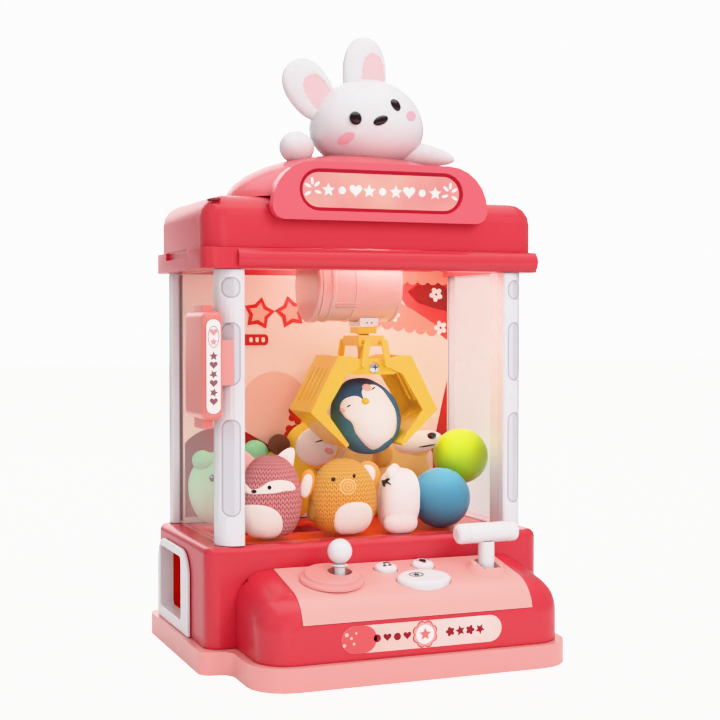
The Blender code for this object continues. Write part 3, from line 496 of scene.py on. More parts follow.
def bead(name, host, x, z, width, height, skin, turn=0.0, bulge=0.45):
    """A glossy oval bead half sunk in its host, in mm."""
    point, normal = host.nearest(x, z)
    out = normal.normalized()
    up = (host.up - out * host.up.dot(out)).normalized()
    side = up.cross(out)
    frame_of = Matrix((side, up, out)).transposed() @ Matrix.Rotation(math.radians(turn), 3, "Z")
    half = Vector((width / 2, height / 2, min(width, height) * bulge))

    def form(direction):
        return point + frame_of @ (Vector([c * h for c, h in zip(direction, half)]) * MM)

    return blob(name, form, skin, 32, 18)


def stud(name, host, x, z, width, height=None, turn=0.0, bulge=0.35, body="root"):
    """A glossy black bead: an eye or a nose."""
    piece = bead(name, host, x, z, width, height or width, EYE, turn, bulge)
    return belongs(piece, body, "black_plastic")


def flat_piece(name, outlines, skin, depth, spot, edge=0.0, turn=None):
    """Flat outlines in mm, drawn in X and Z and thick along -Y from the spot, with rounded rims."""
    curve = bpy.data.curves.new(name, "CURVE")
    curve.dimensions = "2D"
    curve.fill_mode = "BOTH"
    curve.extrude = (depth / 2 - edge) * MM
    curve.bevel_depth = edge * MM
    curve.offset = -edge * MM
    curve.bevel_resolution = 2
    for outline in outlines:
        line = curve.splines.new("POLY")
        line.points.add(len(outline) - 1)
        for point, (x, z) in zip(line.points, outline):
            point.co = (x * MM, z * MM, 0.0, 1.0)
        line.use_cyclic_u = True
    holder = bpy.data.objects.new(name, curve)
    bpy.context.scene.collection.objects.link(holder)
    bpy.context.view_layer.update()
    seen = holder.evaluated_get(bpy.context.evaluated_depsgraph_get())
    mesh = bpy.data.meshes.new_from_object(seen)
    bpy.data.objects.remove(holder, do_unlink=True)
    shape = bmesh.new()
    shape.from_mesh(mesh)
    bmesh.ops.remove_doubles(shape, verts=shape.verts, dist=1e-6)
    bmesh.ops.transform(shape, matrix=Matrix.Translation((0, -depth / 2 * MM, 0))
                        @ Matrix.Rotation(math.pi / 2, 4, "X"), verts=shape.verts)
    piece = finish_mesh(name, shape, skin, 30.0)
    place = Matrix.Translation(Vector(spot) * MM)
    piece.data.transform(place if turn is None else place @ turn.to_4x4())
    return piece


def arc(centre, radius, start, end, steps):
    angles = [math.radians(start + (end - start) * i / steps) for i in range(steps + 1)]
    return [(centre[0] + radius * math.cos(a), centre[1] + radius * math.sin(a)) for a in angles]


def pill(width, height, centre=(0, 0), radius=None, steps=8):
    radius = radius or height / 2
    x, z = width / 2 - radius, height / 2 - radius
    points = []
    for sx, sz, start in ((1, -1, 270), (1, 1, 0), (-1, 1, 90), (-1, -1, 180)):
        points += arc((centre[0] + sx * x, centre[1] + sz * z), radius, start, start + 90, steps)
    return points


def star(radius, inner, points=5, centre=(0, 0), turn=0.0):
    outline = []
    for i in range(2 * points):
        reach = inner if i % 2 else radius
        a = math.radians(90 + turn + 180 * i / points)
        outline.append((centre[0] + reach * math.cos(a), centre[1] + reach * math.sin(a)))
    return outline


def petals(radius, count, centre=(0, 0), depth=0.3, turn=0.0, steps=8):
    """A flower or cloud outline: a circle with round lobes."""
    outline = []
    for i in range(count * steps):
        a = 2 * math.pi * i / (count * steps)
        reach = radius * (1 - depth + depth * abs(math.sin(count * a / 2)))
        outline.append((centre[0] + reach * math.cos(a + math.radians(turn)),
                        centre[1] + reach * math.sin(a + math.radians(turn))))
    return outline


def heart(size, centre):
    points = []
    for i in range(28):
        a = 2 * math.pi * i / 28
        x = 16 * math.sin(a) ** 3
        z = 13 * math.cos(a) - 5 * math.cos(2 * a) - 2 * math.cos(3 * a) - math.cos(4 * a)
        points.append((centre[0] + x * size / 16, centre[1] + (z + 2) * size / 16))
    return points


def smooth_outline(points, steps):
    """A closed smooth outline through the given points (Catmull-Rom)."""
    count = len(points)
    outline = []
    for i in range(count):
        p0, p1, p2, p3 = (Vector(points[(i + k) % count]) for k in (-1, 0, 1, 2))
        for s in range(steps):
            t = s / steps
            outline.append(tuple(0.5 * (2 * p1 + (p2 - p0) * t + (2 * p0 - 5 * p1 + 4 * p2 - p3) * t * t
                                        + (3 * p1 - p0 - 3 * p2 + p3) * t ** 3)))
    return outline


# --- casings and fixed parts
def dress_casings():
    for skin, edge, names in (
            (BLUSH, 1.2, "base_plate"), (BLUSH, 0.5, "coin_clip"),
            (BLUSH, 0.3, "battery_door joystick_bezel"), (BLUSH_TOP_LIT, 0.4, "control_panel"),
            (CORAL, 0.6, "eave_frame roof_cap"), (CORAL, 0.5, "base_housing"),
            (CORAL, 0.4, "console_housing"), (CORAL, 0.3, "back_wall"),
            (LIGHT_CORAL, 0.4, "roof_hood"), (LIGHT_CORAL, 0.3, "prize_chute"),
            (SIGN_CORAL, 1.1, "marquee_sign"), (outlet_skin(), 1.1, "outlet_frame"),
            (FLOOR_RED, 0.2, "prize_floor"), (MAGAZINE, 0.6, "coin_magazine"),
            (pillar_skin("left"), 0.4, "pillar_front_left"),
            (pillar_skin("right"), 0.4, "pillar_front_right"),
            (WHITE, 0.3, "pillar_rear_left pillar_rear_right grab_button music_button light_button "
                         "bridge_beam cord_guide"),
            (WHITE, 0.2, "joystick_stick lever_stem lever_handle winch_drum"),
            (WHITE, 0.0, "joystick_knob"), (CLEAR, 0.15, "window_left window_front"),
            (CLEAR_RIGHT, 0.15, "window_right"), (BLACK, 0.2, "speaker joystick_gimbal"),
            (CARRIAGE, 0.3, "carriage_tube"), (CARRIAGE, 0.4, "carriage_cap"),
            (STEEL, 0.4, "winch_motor"), (CHROME, 0.1, "claw_screw"),
            (YELLOW, 0.3, "claw_head claw_collar claw_link_left claw_link_right"),
            (YELLOW, 0.4, "claw_jaw_left claw_jaw_right")):
        for name in names.split():
            dress(name, skin, edge)
    board = moulded("solder_resist", srgb(30, 110, 60), 0.4)
    traces = board.add("TexBrick", {"Vector": board.place, "Scale": 260.0, "Mortar Size": 0.03})
    board.colour(board.blend(traces.outputs["Fac"], srgb(28, 104, 56), srgb(196, 170, 90)))
    dress("circuit_board", board, 0.1)
    cord = Skin("braided_cord", srgb(228, 226, 214), {"Roughness": 0.8})
    braid = cord.add("TexWave", {"Vector": cord.place, "Scale": 900.0}, bands_direction="DIAGONAL")
    cord.colour(cord.blend(braid.outputs["Fac"], srgb(190, 186, 172), srgb(238, 236, 226)))
    cord.bump(braid.outputs["Fac"], 0.0002, 0.6)
    dress("hoist_cord", cord, 0.0)


# --- topper
def ear(hand, centre, half_wide, half_high, lean, pink, pink_half):
    """A broad round-topped ear, puffy behind and dished in front, with a pink patch in the dish."""
    shape = bmesh.new()
    spokes, rings, thick = 72, 30, 6.4
    spin = Matrix.Rotation(math.radians(lean), 3, "Y")

    def point(share, angle, is_front):
        x, z = (math.copysign(abs(f) ** 0.9, f) for f in (math.cos(angle), math.sin(angle)))
        across = x * half_wide * (1 + 0.06 * z) * share
        up = z * half_high * share
        puff = thick * math.sqrt(max(0.0, 1 - share ** 2.8))
        reach = offset_length(across, up)
        depth = -puff + 1.6 * min(1.0, max(0.0, 1 - reach) * 5) if is_front else puff
        return (Vector(centre) + spin @ Vector((across, depth, up))) * MM, reach

    def offset_length(across, up):
        x, z = abs(across - pink[0]) / pink_half[0], abs(up - pink[1]) / pink_half[1]
        return (x ** 2.5 + z ** 2.5) ** 0.4

    rows, pinks = [], []
    for side in (True, False):
        for ring in range(rings):
            share = (ring + 0.5) / rings if side else 1 - (ring + 0.5) / rings
            share = math.sin(share * math.pi / 2)
            line = []
            for spoke in range(spokes):
                place, reach = point(share, 2 * math.pi * spoke / spokes, side)
                line.append(shape.verts.new(place))
                pinks.append(side and reach < 0.97)
            rows.append(line)
    shape.verts.index_update()
    for one, two in zip(rows, rows[1:]):
        for i in range(spokes):
            j = (i + 1) % spokes
            made = shape.faces.new((one[i], one[j], two[j], two[i]))
            made.material_index = int(all(pinks[v.index] for v in made.verts))
    front = shape.faces.new(rows[0])
    front.material_index = 1
    shape.faces.new(rows[-1])
    bmesh.ops.triangulate(shape, faces=[f for f in shape.faces if len(f.verts) > 4])
    bmesh.ops.recalc_face_normals(shape, faces=shape.faces[:])
    piece = finish_mesh("topper_ear_" + hand, shape, RABBIT)
    piece.data.materials.append(EAR_PINK.material)
    return belongs(piece, "roof", "rabbit_vinyl", "rabbit_ear_" + hand)


def build_topper():
    head_at = (8.0, 9.2, 340.0)

    def head_form(direction):
        x, y, z = direction
        wide = 1 + 0.05 * math.exp(-((z + 0.25) / 0.45) ** 2)
        flat = 1 - 0.10 * max(0.0, -z) ** 2
        return (Vector(head_at) + Vector((x * 37.0 * wide, y * 32.5, z * 30.8 * flat))) * MM

    def arm_right(direction):
        x, y, z = direction
        droop = -3.4 * ((x + 1) / 2) ** 2
        slim = 1 - 0.30 * (x + 1) / 2
        return Vector((40.0 + 29.5 * x, 4.0 + 11.0 * y * slim, 324.0 + droop + 9.5 * z * slim)) * MM

    head = belongs(blob("topper_head", head_form, RABBIT, 120, 80), "roof", "rabbit_vinyl",
                   "rabbit_body")
    ear("left", (-31.6, 9.2, 361.8), 15.4, 21.6, -37.0, (2.2, -5.0), (9.2, 14.2))
    ear("right", (6.4, 9.2, 372.0), 15.2, 26.4, 0.0, (4.6, -6.0), (9.4, 23.0))
    arm_left = rounded((-41.2, 7.0, 324.2), (11.6, 10.8, 10.4), turn=(0, 8, 12))
    tail = rounded((8.0, 34.0, 318.0), (8.5, 7.5, 8.5), lumps=0.15)
    for name, form, columns, rows in (("arm_left", arm_left, 64, 40), ("arm_right", arm_right, 64, 40),
                                      ("tail", tail, 48, 32)):
        belongs(blob("topper_" + name, form, RABBIT, columns, rows), "roof", "rabbit_vinyl")

    face = Host(head, head_at, yaw=-9.0, roll=-16.0)
    stud("topper_eye_left", face, -13.2, 5.0, 7.8, 8.8, 6.0, body="roof")
    stud("topper_eye_right", face, 15.2, 6.9, 6.4, 8.8, 6.0, body="roof")
    for hand, spot, wide in (("left", (-21.4, -5.2), 11.4), ("right", (24.6, -2.0), 8.6)):
        cheek = applique("topper_cheek_" + hand, face, oval(wide, 6.8, spot, 12.0), CHEEK, 0.35, 0.3)
        belongs(cheek, "roof", "light_coral_plastic")
    stud("topper_nose", face, 1.9, -0.5, 10.4, 5.6, 8.0, body="roof")


# --- soft toys and balls
def stuffed(piece, skin, node=None, body="root"):
    """A stuffed piece attached to its body, with the node it stands for hidden."""
    belongs(piece, body, skin.slot, *([node] if node else []))
    return piece


def lump(name, form, skin, node=None, grid=(96, 60), body="root"):
    return stuffed(blob(name, form, skin, *grid), skin, node, body)


def patch(name, host, outline, skin, lift, body="root"):
    return stuffed(applique(name, host, outline, skin, lift), skin, None, body)


def mark(name, host, outline, skin, lift, body="root"):
    return belongs(applique(name, host, outline, skin, lift), body, skin.slot)


CREAM_PILE = pile("cream_pile", "white_plush", srgb(240, 226, 216), srgb(250, 244, 240), 0.08, 0.13)
PINK_PILE = pile("pink_pile", "pink_plush", srgb(226, 150, 150), srgb(244, 190, 186), 0.08, 0.15)
FLOSS = Skin("embroidery_floss", srgb(24, 20, 22), {"Roughness": 0.45}, "black_plastic")
FLOSS.bump(FLOSS.noise(2600.0, 2.0, (1.0, 1.0, 0.3)), 0.0002, 0.5)
FLOSS.colour(FLOSS.blend(FLOSS.noise(1800.0), srgb(12, 10, 12), srgb(52, 44, 46)))


def toy_ear(name, centre, radii, skin, turn=(0, 0, 0)):
    return lump(name, rounded(centre, radii, turn=turn, lumps=0.05), skin, None, (40, 26))


def build_penguin():
    centre = (14.4, 28.1, 149.1)
    navy = pile("penguin_pile", "blue_plush", srgb(84, 140, 166), srgb(44, 60, 86), 0.136, 0.174)

    def form(direction):
        x, y, z = direction
        wide = 1 - 0.06 * z
        local = Vector((x * 23.4 * wide, y * 17.8 * wide, z * 26.8))
        lumps = 1 + 0.02 * noise.noise(local * 0.12)
        return (Vector(centre) + Matrix.Rotation(math.radians(-31.0), 3, "Y") @ (local * lumps)) * MM

    host = Host(lump("penguin_body", form, navy, "prize_penguin", body="claw"), centre, yaw=-21.5)
    heart_line = smooth_outline(
        [(-0.7, 12.0), (-5.4, 14.6), (-10.8, 14.2), (-15.9, 11.4), (-17.6, 6.0), (-14.8, 0.7),
         (-9.2, -4.0), (-6.7, -10.8), (-0.9, -18.8), (5.8, -24.0), (13.4, -19.4), (20.6, -13.4),
         (22.4, -5.4), (21.2, 4.0), (16.8, 12.1), (11.8, 18.9), (6.2, 22.2), (0.4, 21.6),
         (-2.4, 17.8), (-1.6, 14.0)], 5)
    patch("penguin_face", host, heart_line, CREAM_PILE, 0.7, body="claw")
    felt = moulded("beak_felt", srgb(236, 196, 70), 0.7, 0.0, 0.1, 0.6)
    belongs(bead("penguin_beak", host, 0.2, 10.6, 5.4, 5.0, felt, bulge=0.5), "claw", "yellow_plush")
    for hand, spot in (("left", (-10.6, 7.6)), ("right", (5.4, 18.6))):
        mark("penguin_eye_" + hand, host, oval(3.4, 1.1, spot, 34.0, 20), FLOSS, 0.95, "claw")
    for hand, spot, wide in (("left", (-14.6, 4.6), 4.2), ("right", (1.2, 19.2), 6.8)):
        mark("penguin_cheek_" + hand, host, oval(wide, wide * 0.7, spot, -24.0, 24), PINK_PILE, 0.85,
             "claw")


def flap(name, points, y, skin):
    """A flat stuffed ear, drawn in X and Z in mm."""
    piece = flat_piece(name, [smooth_outline(points, 5)], skin, 4.4, (0, y, 0), 4.4 * 0.45)
    stuffed(piece, skin)


def build_fox():
    centre = (-61.8, -11.5, 102.2)
    # the first knit colour is the painted shade between the stitches
    yarn = knitted("rose_knit", "pink_plush", srgb(190, 78, 86), srgb(240, 168, 168), 46, 27)
    shape = rounded((-65.4, -11.5, 102.2), (20.0, 12.6, 26.6), 2.4, flat=24.0, lumps=0.02, taper=0.08)
    body = lump("fox_body", shape, yarn, "prize_fox")
    host, side = Host(body, centre), Host(body, centre, yaw=-40.0)
    patch("fox_belly", side, oval(33.0, 25.0, (-7.6, -14.6), power=2.3), CREAM_PILE, 0.8)
    mask = [(-20.5, 6.2), (-17.0, 6.8), (-13.7, 8.0), (-8.4, 11.2), (-0.9, 12.2), (6.8, 10.8),
            (10.6, 7.4), (9.6, 5.0), (2.2, 4.8), (-4.4, 3.8), (-13.7, 3.6), (-20.6, 3.6)]
    patch("fox_mask", host, smooth_outline(mask, 4), CREAM_PILE, 0.6)
    other = [(-8.0, 6.0), (-11.0, 8.6), (-15.0, 11.2), (-19.4, 11.8), (-21.5, 9.5), (-21.0, 6.5),
             (-17.0, 4.8), (-12.0, 4.0), (-8.4, 4.0)]
    patch("fox_mask_left", side, smooth_outline(other, 4), CREAM_PILE, 0.6)
    stud("fox_eye_right", host, -8.0, 7.6, 3.2)
    stud("fox_eye_left", side, -15.2, 7.6, 3.2)
    stud("fox_nose", host, -17.2, 5.4, 3.8, 2.6, bulge=0.45)
    flap("fox_ear_right", [(-63.0, 123.0), (-59.6, 128.0), (-54.5, 131.8), (-50.4, 132.8),
                           (-48.6, 131.0), (-48.8, 125.6), (-50.6, 118.0), (-54.0, 113.5),
                           (-60.0, 116.0)], -7.2, CREAM_PILE)
    flap("fox_ear_left", [(-84.4, 130.4), (-82.8, 132.4), (-80.4, 131.6), (-75.4, 127.4),
                          (-71.8, 123.0), (-74.0, 116.0), (-80.0, 114.0), (-84.0, 118.0),
                          (-85.2, 124.6)], -5.0, PINK_PILE)


def build_bear():
    centre = (-16.3, -11.0, 100.2)
    # the first knit colour is the painted shade between the stitches
    yarn = knitted("orange_knit", "orange_plush", srgb(240, 128, 26), srgb(255, 214, 120), 46, 28,
                   srgb(232, 92, 10))
    shape = rounded(centre, (22.4, 12.8, 24.8), 2.25, flat=22.5, lumps=0.02, taper=0.10)
    host = Host(lump("bear_body", shape, yarn, "prize_orange_bear"), centre)
    patch("bear_belly", host, oval(28.5, 23.5, (3.6, -13.2), power=2.4), CREAM_PILE, 0.8)
    stud("bear_eye_left", host, -10.1, 12.7, 2.9)
    stud("bear_eye_right", host, 3.8, 14.3, 2.0, 3.2, -20.0)
    floss = pile("bear_muzzle_floss", "orange_plush", srgb(252, 206, 130), srgb(255, 226, 168),
                 0.1, 0.12)
    felt = pile("bear_muzzle_felt", "orange_plush", srgb(246, 158, 60), srgb(250, 176, 84), 0.1, 0.12)
    for number, reach in enumerate((12.0, 10.4, 7.8, 6.4, 3.8, 2.6)):
        patch(f"bear_muzzle_{number}", host, oval(reach, reach * 0.9, (-1.0, 7.9), points=32),
              felt if number % 2 else floss, 0.3 + 0.14 * number)
    for hand, spot, radii, roll, size, middle, power in (
            ("left", (-41.2, -11.0, 109.2), (5.2, 4.2, 9.8), 14.0, (7.0, 16.0), (0.2, -0.4), 2.4),
            ("right", (0.8, -10.5, 113.6), (8.4, 4.4, 9.0), 10.0, (11.4, 13.6), (-0.4, 0.4), 2.2)):
        outer = toy_ear("bear_ear_" + hand, spot, radii, felt, (0, roll, 0))
        patch("bear_inner_ear_" + hand, Host(outer, spot, -21.5, roll), oval(*size, middle, power=power),
              CREAM_PILE, 0.6)
    arm = rounded((centre[0] - 21.0, centre[1] - 2.0, centre[2] - 8.0), (3.4, 4.0, 6.6),
                  turn=(0, 18, 0))
    lump("bear_arm_left", arm, yarn, None, (40, 26))


def build_cat():
    centre = (21.0, -10.5, 93.7)
    fur = pile("white_pile", "white_plush", srgb(240, 218, 214), srgb(250, 244, 244), 0.076, 0.105)

    def form(direction):
        x, y, z = direction
        size = (abs(x) ** 2.7 + abs(y) ** 2.7 + abs(z) ** 2.7) ** (1 / 2.7)
        point = Vector((x * 13.2 + 0.8 * z, y * 12.6, z * 20.6)) / size
        point *= 1 + 0.03 * noise.noise(point * 0.11 + Vector((4.0, 0.0, 0.0)))
        return (Vector(centre) + Vector((1.6, 0, 2.8)) + point) * MM

    host = Host(lump("cat_body", form, fur, "prize_white_cat"), centre)
    lump("cat_back", rounded((27.0, -5.6, 104.5), (10.2, 9.6, 12.2), lumps=0.05), fur, grid=(56, 36))
    lump("cat_paw", rounded((20.6, -18.6, 82.6), (11.6, 6.6, 7.2), 2.2, flat=6.4), fur, None,
         (56, 36))
    for hand, x, y in (("left", 15.4, -16.0), ("right", 24.0, -1.0)):
        toy_ear("cat_ear_" + hand, (x, y, 114.4), (3.8, 3.4, 4.8), fur, (0, -10, 0))
    for number, turn in enumerate((45.0, -45.0)):
        mark(f"cat_eye_{number}", host, oval(6.4, 1.1, (-9.4, 15.8), turn, 20), FLOSS, 0.5)


def build_dinosaur():
    centre = (-79.0, 67.0, 99.7)
    mint = pile("mint_pile", "green_plush", srgb(214, 238, 210), srgb(146, 212, 160), 0.085, 0.125)

    def form(direction):
        x, y, z = direction
        point = Vector((x * 18.4 * (1 + 0.06 * z), y * 9.0, z * 24.6))
        point *= 1 + 0.03 * noise.noise(point * 0.09)
        return (Vector(centre) + point) * MM

    host = Host(lump("dinosaur_body", form, mint, "prize_dinosaur"), centre, yaw=-8.0)
    for hand, x in (("left", -3.0), ("right", 12.0)):
        eye = stud("dinosaur_eye_" + hand, host, x, 8.0, 4.4, 4.8)
        glint = bead("dinosaur_glint_" + hand, Host(eye, centre, yaw=-8.0), x - 0.8, 9.0, 1.2, 1.2,
                     CREAM_PILE)
        belongs(glint, "root", "white_plush")
    patch("dinosaur_snout", host, oval(8.0, 4.6, (4.5, 2.4)), PINK_PILE, 0.7)
    toy_ear("dinosaur_ear_left", (-88.6, 64.5, 119.4), (7.2, 6.0, 6.8), mint)
    toy_ear("dinosaur_ear_right", (-50.6, 68.0, 122.6), (9.4, 7.0, 9.0), mint)


def build_duck():
    centre, middle = (-31.0, 67.0, 99.7), (-9.0, 66.2, 127.0)
    gold = pile("gold_pile", "yellow_plush", srgb(236, 168, 26), srgb(252, 214, 84), 0.08, 0.12)
    body = lump("duck_body", rounded(centre, (25.4, 9.0, 24.6), 2.2, lumps=0.03), gold,
                "prize_yellow_duck")
    patch("duck_belly", Host(body, centre), oval(28.0, 24.0, (-2.0, -8.5)), CREAM_PILE, 0.9)
    head = lump("duck_head", rounded(middle, (19.6, 8.6, 16.8), 2.1, lumps=0.03), gold)
    face = Host(head, middle)
    patch("duck_face", face, oval(33.0, 28.4, (0.8, -0.4)), CREAM_PILE, 0.8)
    mark("duck_cheek", face, oval(8.4, 4.4, (8.4, -3.6), -20.0), PINK_PILE, 1.15)
    mark("duck_smile", face, oval(8.0, 1.0, (1.6, 3.4), 12.0, 20), FLOSS, 1.1)
    cocoa = pile("cocoa_pile", "beige_plush", srgb(84, 50, 40), srgb(112, 70, 58), 0.1, 0.13)
    toy_ear("duck_hat", (-35.0, 63.0, 128.4), (7.6, 6.6, 7.2), cocoa)


def build_dog():
    middle, nose_at = (61.0, 65.5, 126.0), (66.5, 58.4, 127.6)
    sand = pile("sand_pile", "beige_plush", srgb(246, 178, 76), srgb(250, 212, 140), 0.08, 0.13)
    body = rounded((45.0, 66.0, 105.7), (33.4, 9.8, 30.4), 2.2, lumps=0.03)
    lump("dog_body", body, sand, "prize_beige_dog")
    head = lump("dog_head", rounded(middle, (20.0, 8.8, 13.4), lumps=0.03), sand)
    muzzle = rounded(nose_at, (18.6, 6.8, 7.6), 2.1, turn=(0, -8, 0), lumps=0.03)
    nose_host = Host(lump("dog_muzzle", muzzle, CREAM_PILE, None, (64, 40)), nose_at)
    stud("dog_nose", nose_host, 8.6, 4.4, 7.6, 5.0, bulge=0.5)
    stud("dog_eye_left", Host(head, middle), -8.0, 8.4, 3.0)
    stud("dog_eye_right", Host(head, middle), 13.0, 8.4, 3.0)
    tan = pile("tan_pile", "beige_plush", srgb(206, 140, 60), srgb(232, 178, 96), 0.08, 0.13)
    toy_ear("dog_ear_left", (41.0, 62.0, 124.0), (6.0, 4.2, 10.0), tan, (0, 16, 0))
    toy_ear("dog_ear_right", (84.0, 62.0, 124.0), (6.0, 4.2, 10.0), tan, (0, -16, 0))
    toy_ear("dog_paw", (38.6, 55.0, 119.5), (7.0, 6.0, 8.6), tan)
    mark("dog_mouth", nose_host, oval(15.0, 1.0, (5.0, -2.6), 6.0), FLOSS, 0.5)


def play_ball(name, node, slot, colour, tint):
    """A hollow blow-moulded ball with a faint parting seam, and painted shade that darkens it towards
    the bottom.
    """
    low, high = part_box(node)
    centre, radius = (low + high) / 2, (high.x - low.x) / 2
    skin = moulded(name + "_moulding", colour, 0.34, 0.12, 0.04, 0.25, soft=0.3)
    # painted shade: the darker tint at the bottom fades to the ball's colour at the top
    rise = skin.reach(skin.height(), 0.0, 1.0, low.z, high.z)
    skin.colour(skin.blend(rise, tint, colour))
    tilt = Matrix.Rotation(math.radians(28.0), 3, "X") @ Matrix.Rotation(math.radians(18.0), 3, "Y")

    def form(direction):
        seam = 0.12 * MM * math.exp(-(direction.z / 0.012) ** 2)
        return centre + tilt @ direction * (radius - 0.10 * MM + seam)

    belongs(blob(name, form, skin, 96, 120), "root", slot, node)


def build_balls():
    # the second colour of each ball is the painted shade at its bottom
    play_ball("blue_play_ball", "prize_blue_ball", "blue_ball", srgb(92, 164, 190), srgb(60, 122, 156))
    play_ball("green_play_ball", "prize_green_ball", "green_ball", srgb(206, 226, 40),
              srgb(150, 190, 24))


# --- printed decoration
def sticker(name, outlines, colour, spot, depth=0.15, slot="printed_card", body="root", second=None,
            turn=None):
    """Printed film in mm outlines; its back lies at the spot."""
    skin = printed(name + "_ink", colour, second)
    piece = flat_piece(name, outlines, skin, depth, spot, turn=turn)
    return belongs(piece, body, slot)


def films(front, slot="printed_card", body="root"):
    """A function that lays printed film in front of the plane at front, in mm."""

    def film(name, outlines, colour, rise, depth=0.12, second=None):
        sticker(name, outlines, colour, (0, front - rise, 0), depth, slot, body, second)

    return film


def build_backdrop():
    """Layered film pictures of clouds, an awning, flowers and pennants in front of the rear card."""
    card = Skin("backdrop_film", srgb(250, 214, 190), {"Roughness": 0.5})
    split = card.add("SeparateXYZ", {"Vector": card.place})
    rise = card.reach(split.outputs["Z"], 0.0, 1.0, 0.10, 0.23)
    across = card.reach(split.outputs["X"], 0.0, 1.0, -0.09, 0.05)
    upper = card.blend(across, srgb(250, 214, 196), srgb(252, 240, 228))
    tone = card.blend(rise, srgb(252, 228, 212), upper)
    swirl = card.noise(26.0, 3.0, (1.0, 1.0, 0.6))
    card.colour(card.blend(card.reach(swirl, 0.0, 0.5, 0.5, 0.72), tone, srgb(246, 188, 166)))
    card.bump(card.noise(600.0), 0.00003, 0.2)
    dress("backdrop_card", card, 0.1)

    front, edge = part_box("backdrop_card")[0].y / MM, 97.5
    red, deep, salmon = srgb(200, 26, 14), srgb(132, 12, 12), srgb(240, 146, 116)
    cream = srgb(252, 232, 214)

    def film(name, outlines, colour, layer, second=None):
        sticker("backdrop_" + name, outlines, colour, (0, front - 0.16 * layer, 0), second=second)

    film("sun", [oval(50, 50, (-34, 153), points=64)], srgb(244, 192, 172), 1)
    film("hill", [[(-edge, 80), (-20, 80), (-24, 118), (-43, 130)] + arc((-72, 104), 37, 62, 128, 8)
                  + [(-edge, 130)]], red, 1, deep)
    film("moon", [oval(36, 36, (2, 124), points=48)], cream, 1)
    film("vine", [petals(7.5, 6, (-17, 148), 0.3), petals(6.5, 5, (-21, 135), 0.3, 20),
                  petals(7.0, 6, (-17, 122), 0.3, 40)], red, 2)
    film("cloud_large", [[(min(x, 97.3), z) for x, z in petals(37, 9, (74, 176), 0.12)]], cream, 1)
    film("ribbon", [[(60, 248), (edge, 248), (edge, 199), (88, 206), (76, 214), (67, 221),
                     (60, 231)]],
         red, 2, srgb(226, 60, 20))
    film("ribbon_fold", [[(66, 234), (80, 243), (90, 241), (edge, 236), (edge, 220), (88, 222),
                          (74, 226)]], deep, 3)
    scallops, upper = [], []
    for i in range(6):
        scallops += arc((42 + 8.6 * i, 213 - 1.3 * i), 4.5, 190, 340, 6)
    for i in range(5):
        upper += arc((62 + 8.0 * i, 243), 4.2, 190, 350, 6)
    film("awning", [[(37, 224)] + scallops
                    + [(90, 209), (80, 215), (70, 221), (60, 226), (48, 226)]],
         salmon, 4)
    film("awning_upper", [[(57, 250)] + upper + [(edge, 250)]], salmon, 4)
    film("pennant", [[(88, 80), (edge, 80), (edge, 170), (94.5, 158), (86, 120)]], red, 2, deep)
    blooms = (((88.5, 232), 10), ((55, 217), 40), ((92.0, 208), 0), ((-86, 216), 25))
    film("blooms", [petals(5.2, 5, c, 0.45, t) for c, t in blooms], srgb(252, 246, 242), 5)
    film("bloom_eyes", [oval(2.0, 2.0, c, points=16) for c, _ in blooms], deep, 6)
    stars = ((-68, 219, 8.4, 10), (-45, 218, 8.6, -10), (-22, 219, 8.6, 12))
    for name, grow, waist, colour, layer in (("star_rims", 3.0, 0.62, srgb(206, 30, 24), 2),
                                             ("stars", -1.0, 0.56, srgb(248, 176, 150), 3)):
        film(name, [star(r + grow, (r + grow) * waist, centre=(x, z), turn=t) for x, z, r, t in stars],
             colour, layer)
    film("tag", [pill(19, 7.6, (-48, 200), 2.6)], red, 4)
    film("tag_dots", [pill(2.2, 3.4, (-51 + 4.4 * i, 200), 1.0) for i in range(3)], cream, 5)
    film("bubbles", [oval(d, d, c, points=32) for d, c in
                     ((12, (-8, 160)), (8, (-14, 150)), (9, (-10, 141)), (6, (-6, 133)))], salmon, 2)
    film("cloud_small", [petals(15, 7, (-80, 182), 0.16), petals(11, 6, (12, 190), 0.18)], cream, 1)


def build_marquee():
    film, middle = films(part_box("marquee_sign")[0].y / MM + 1.5, body="roof"), 293.5
    # a dark ring in the groove round the label: partly the sign's darker coral, partly painted shade of
    # the groove
    film("marquee_rim", [pill(109.6, 25.4, (0, middle)), pill(105.8, 21.8, (0, middle))],
         srgb(176, 40, 54), 0.05, 0.2)
    film("marquee_label", [pill(105.4, 21.4, (0, middle))], srgb(238, 150, 150), 0.05, 0.2,
         srgb(246, 186, 172))
    row = []
    for x, kind in zip(range(-36, 37, 9), "sdhsdshds"):
        row.append(star(4.4, 2.1, centre=(x, middle)) if kind == "s" else heart(4.2, (x, middle))
                   if kind == "h" else oval(4.8, 4.8, (x, middle), points=24))
    film("marquee_motifs", row, srgb(255, 250, 248), 0.26, 0.25)
    sprigs = []
    for side in (-1, 1):
        for step in range(5):
            a = math.radians(118 - 56 * step)
            spot = (side * (46.2 + 3.6 * math.sin(a)), middle + 5.2 * math.cos(a))
            sprigs.append(oval(4.6, 2.0, spot, side * (90 - 118 + 56 * step), 20))
    film("marquee_sprigs", sprigs, srgb(255, 250, 248), 0.26, 0.25)


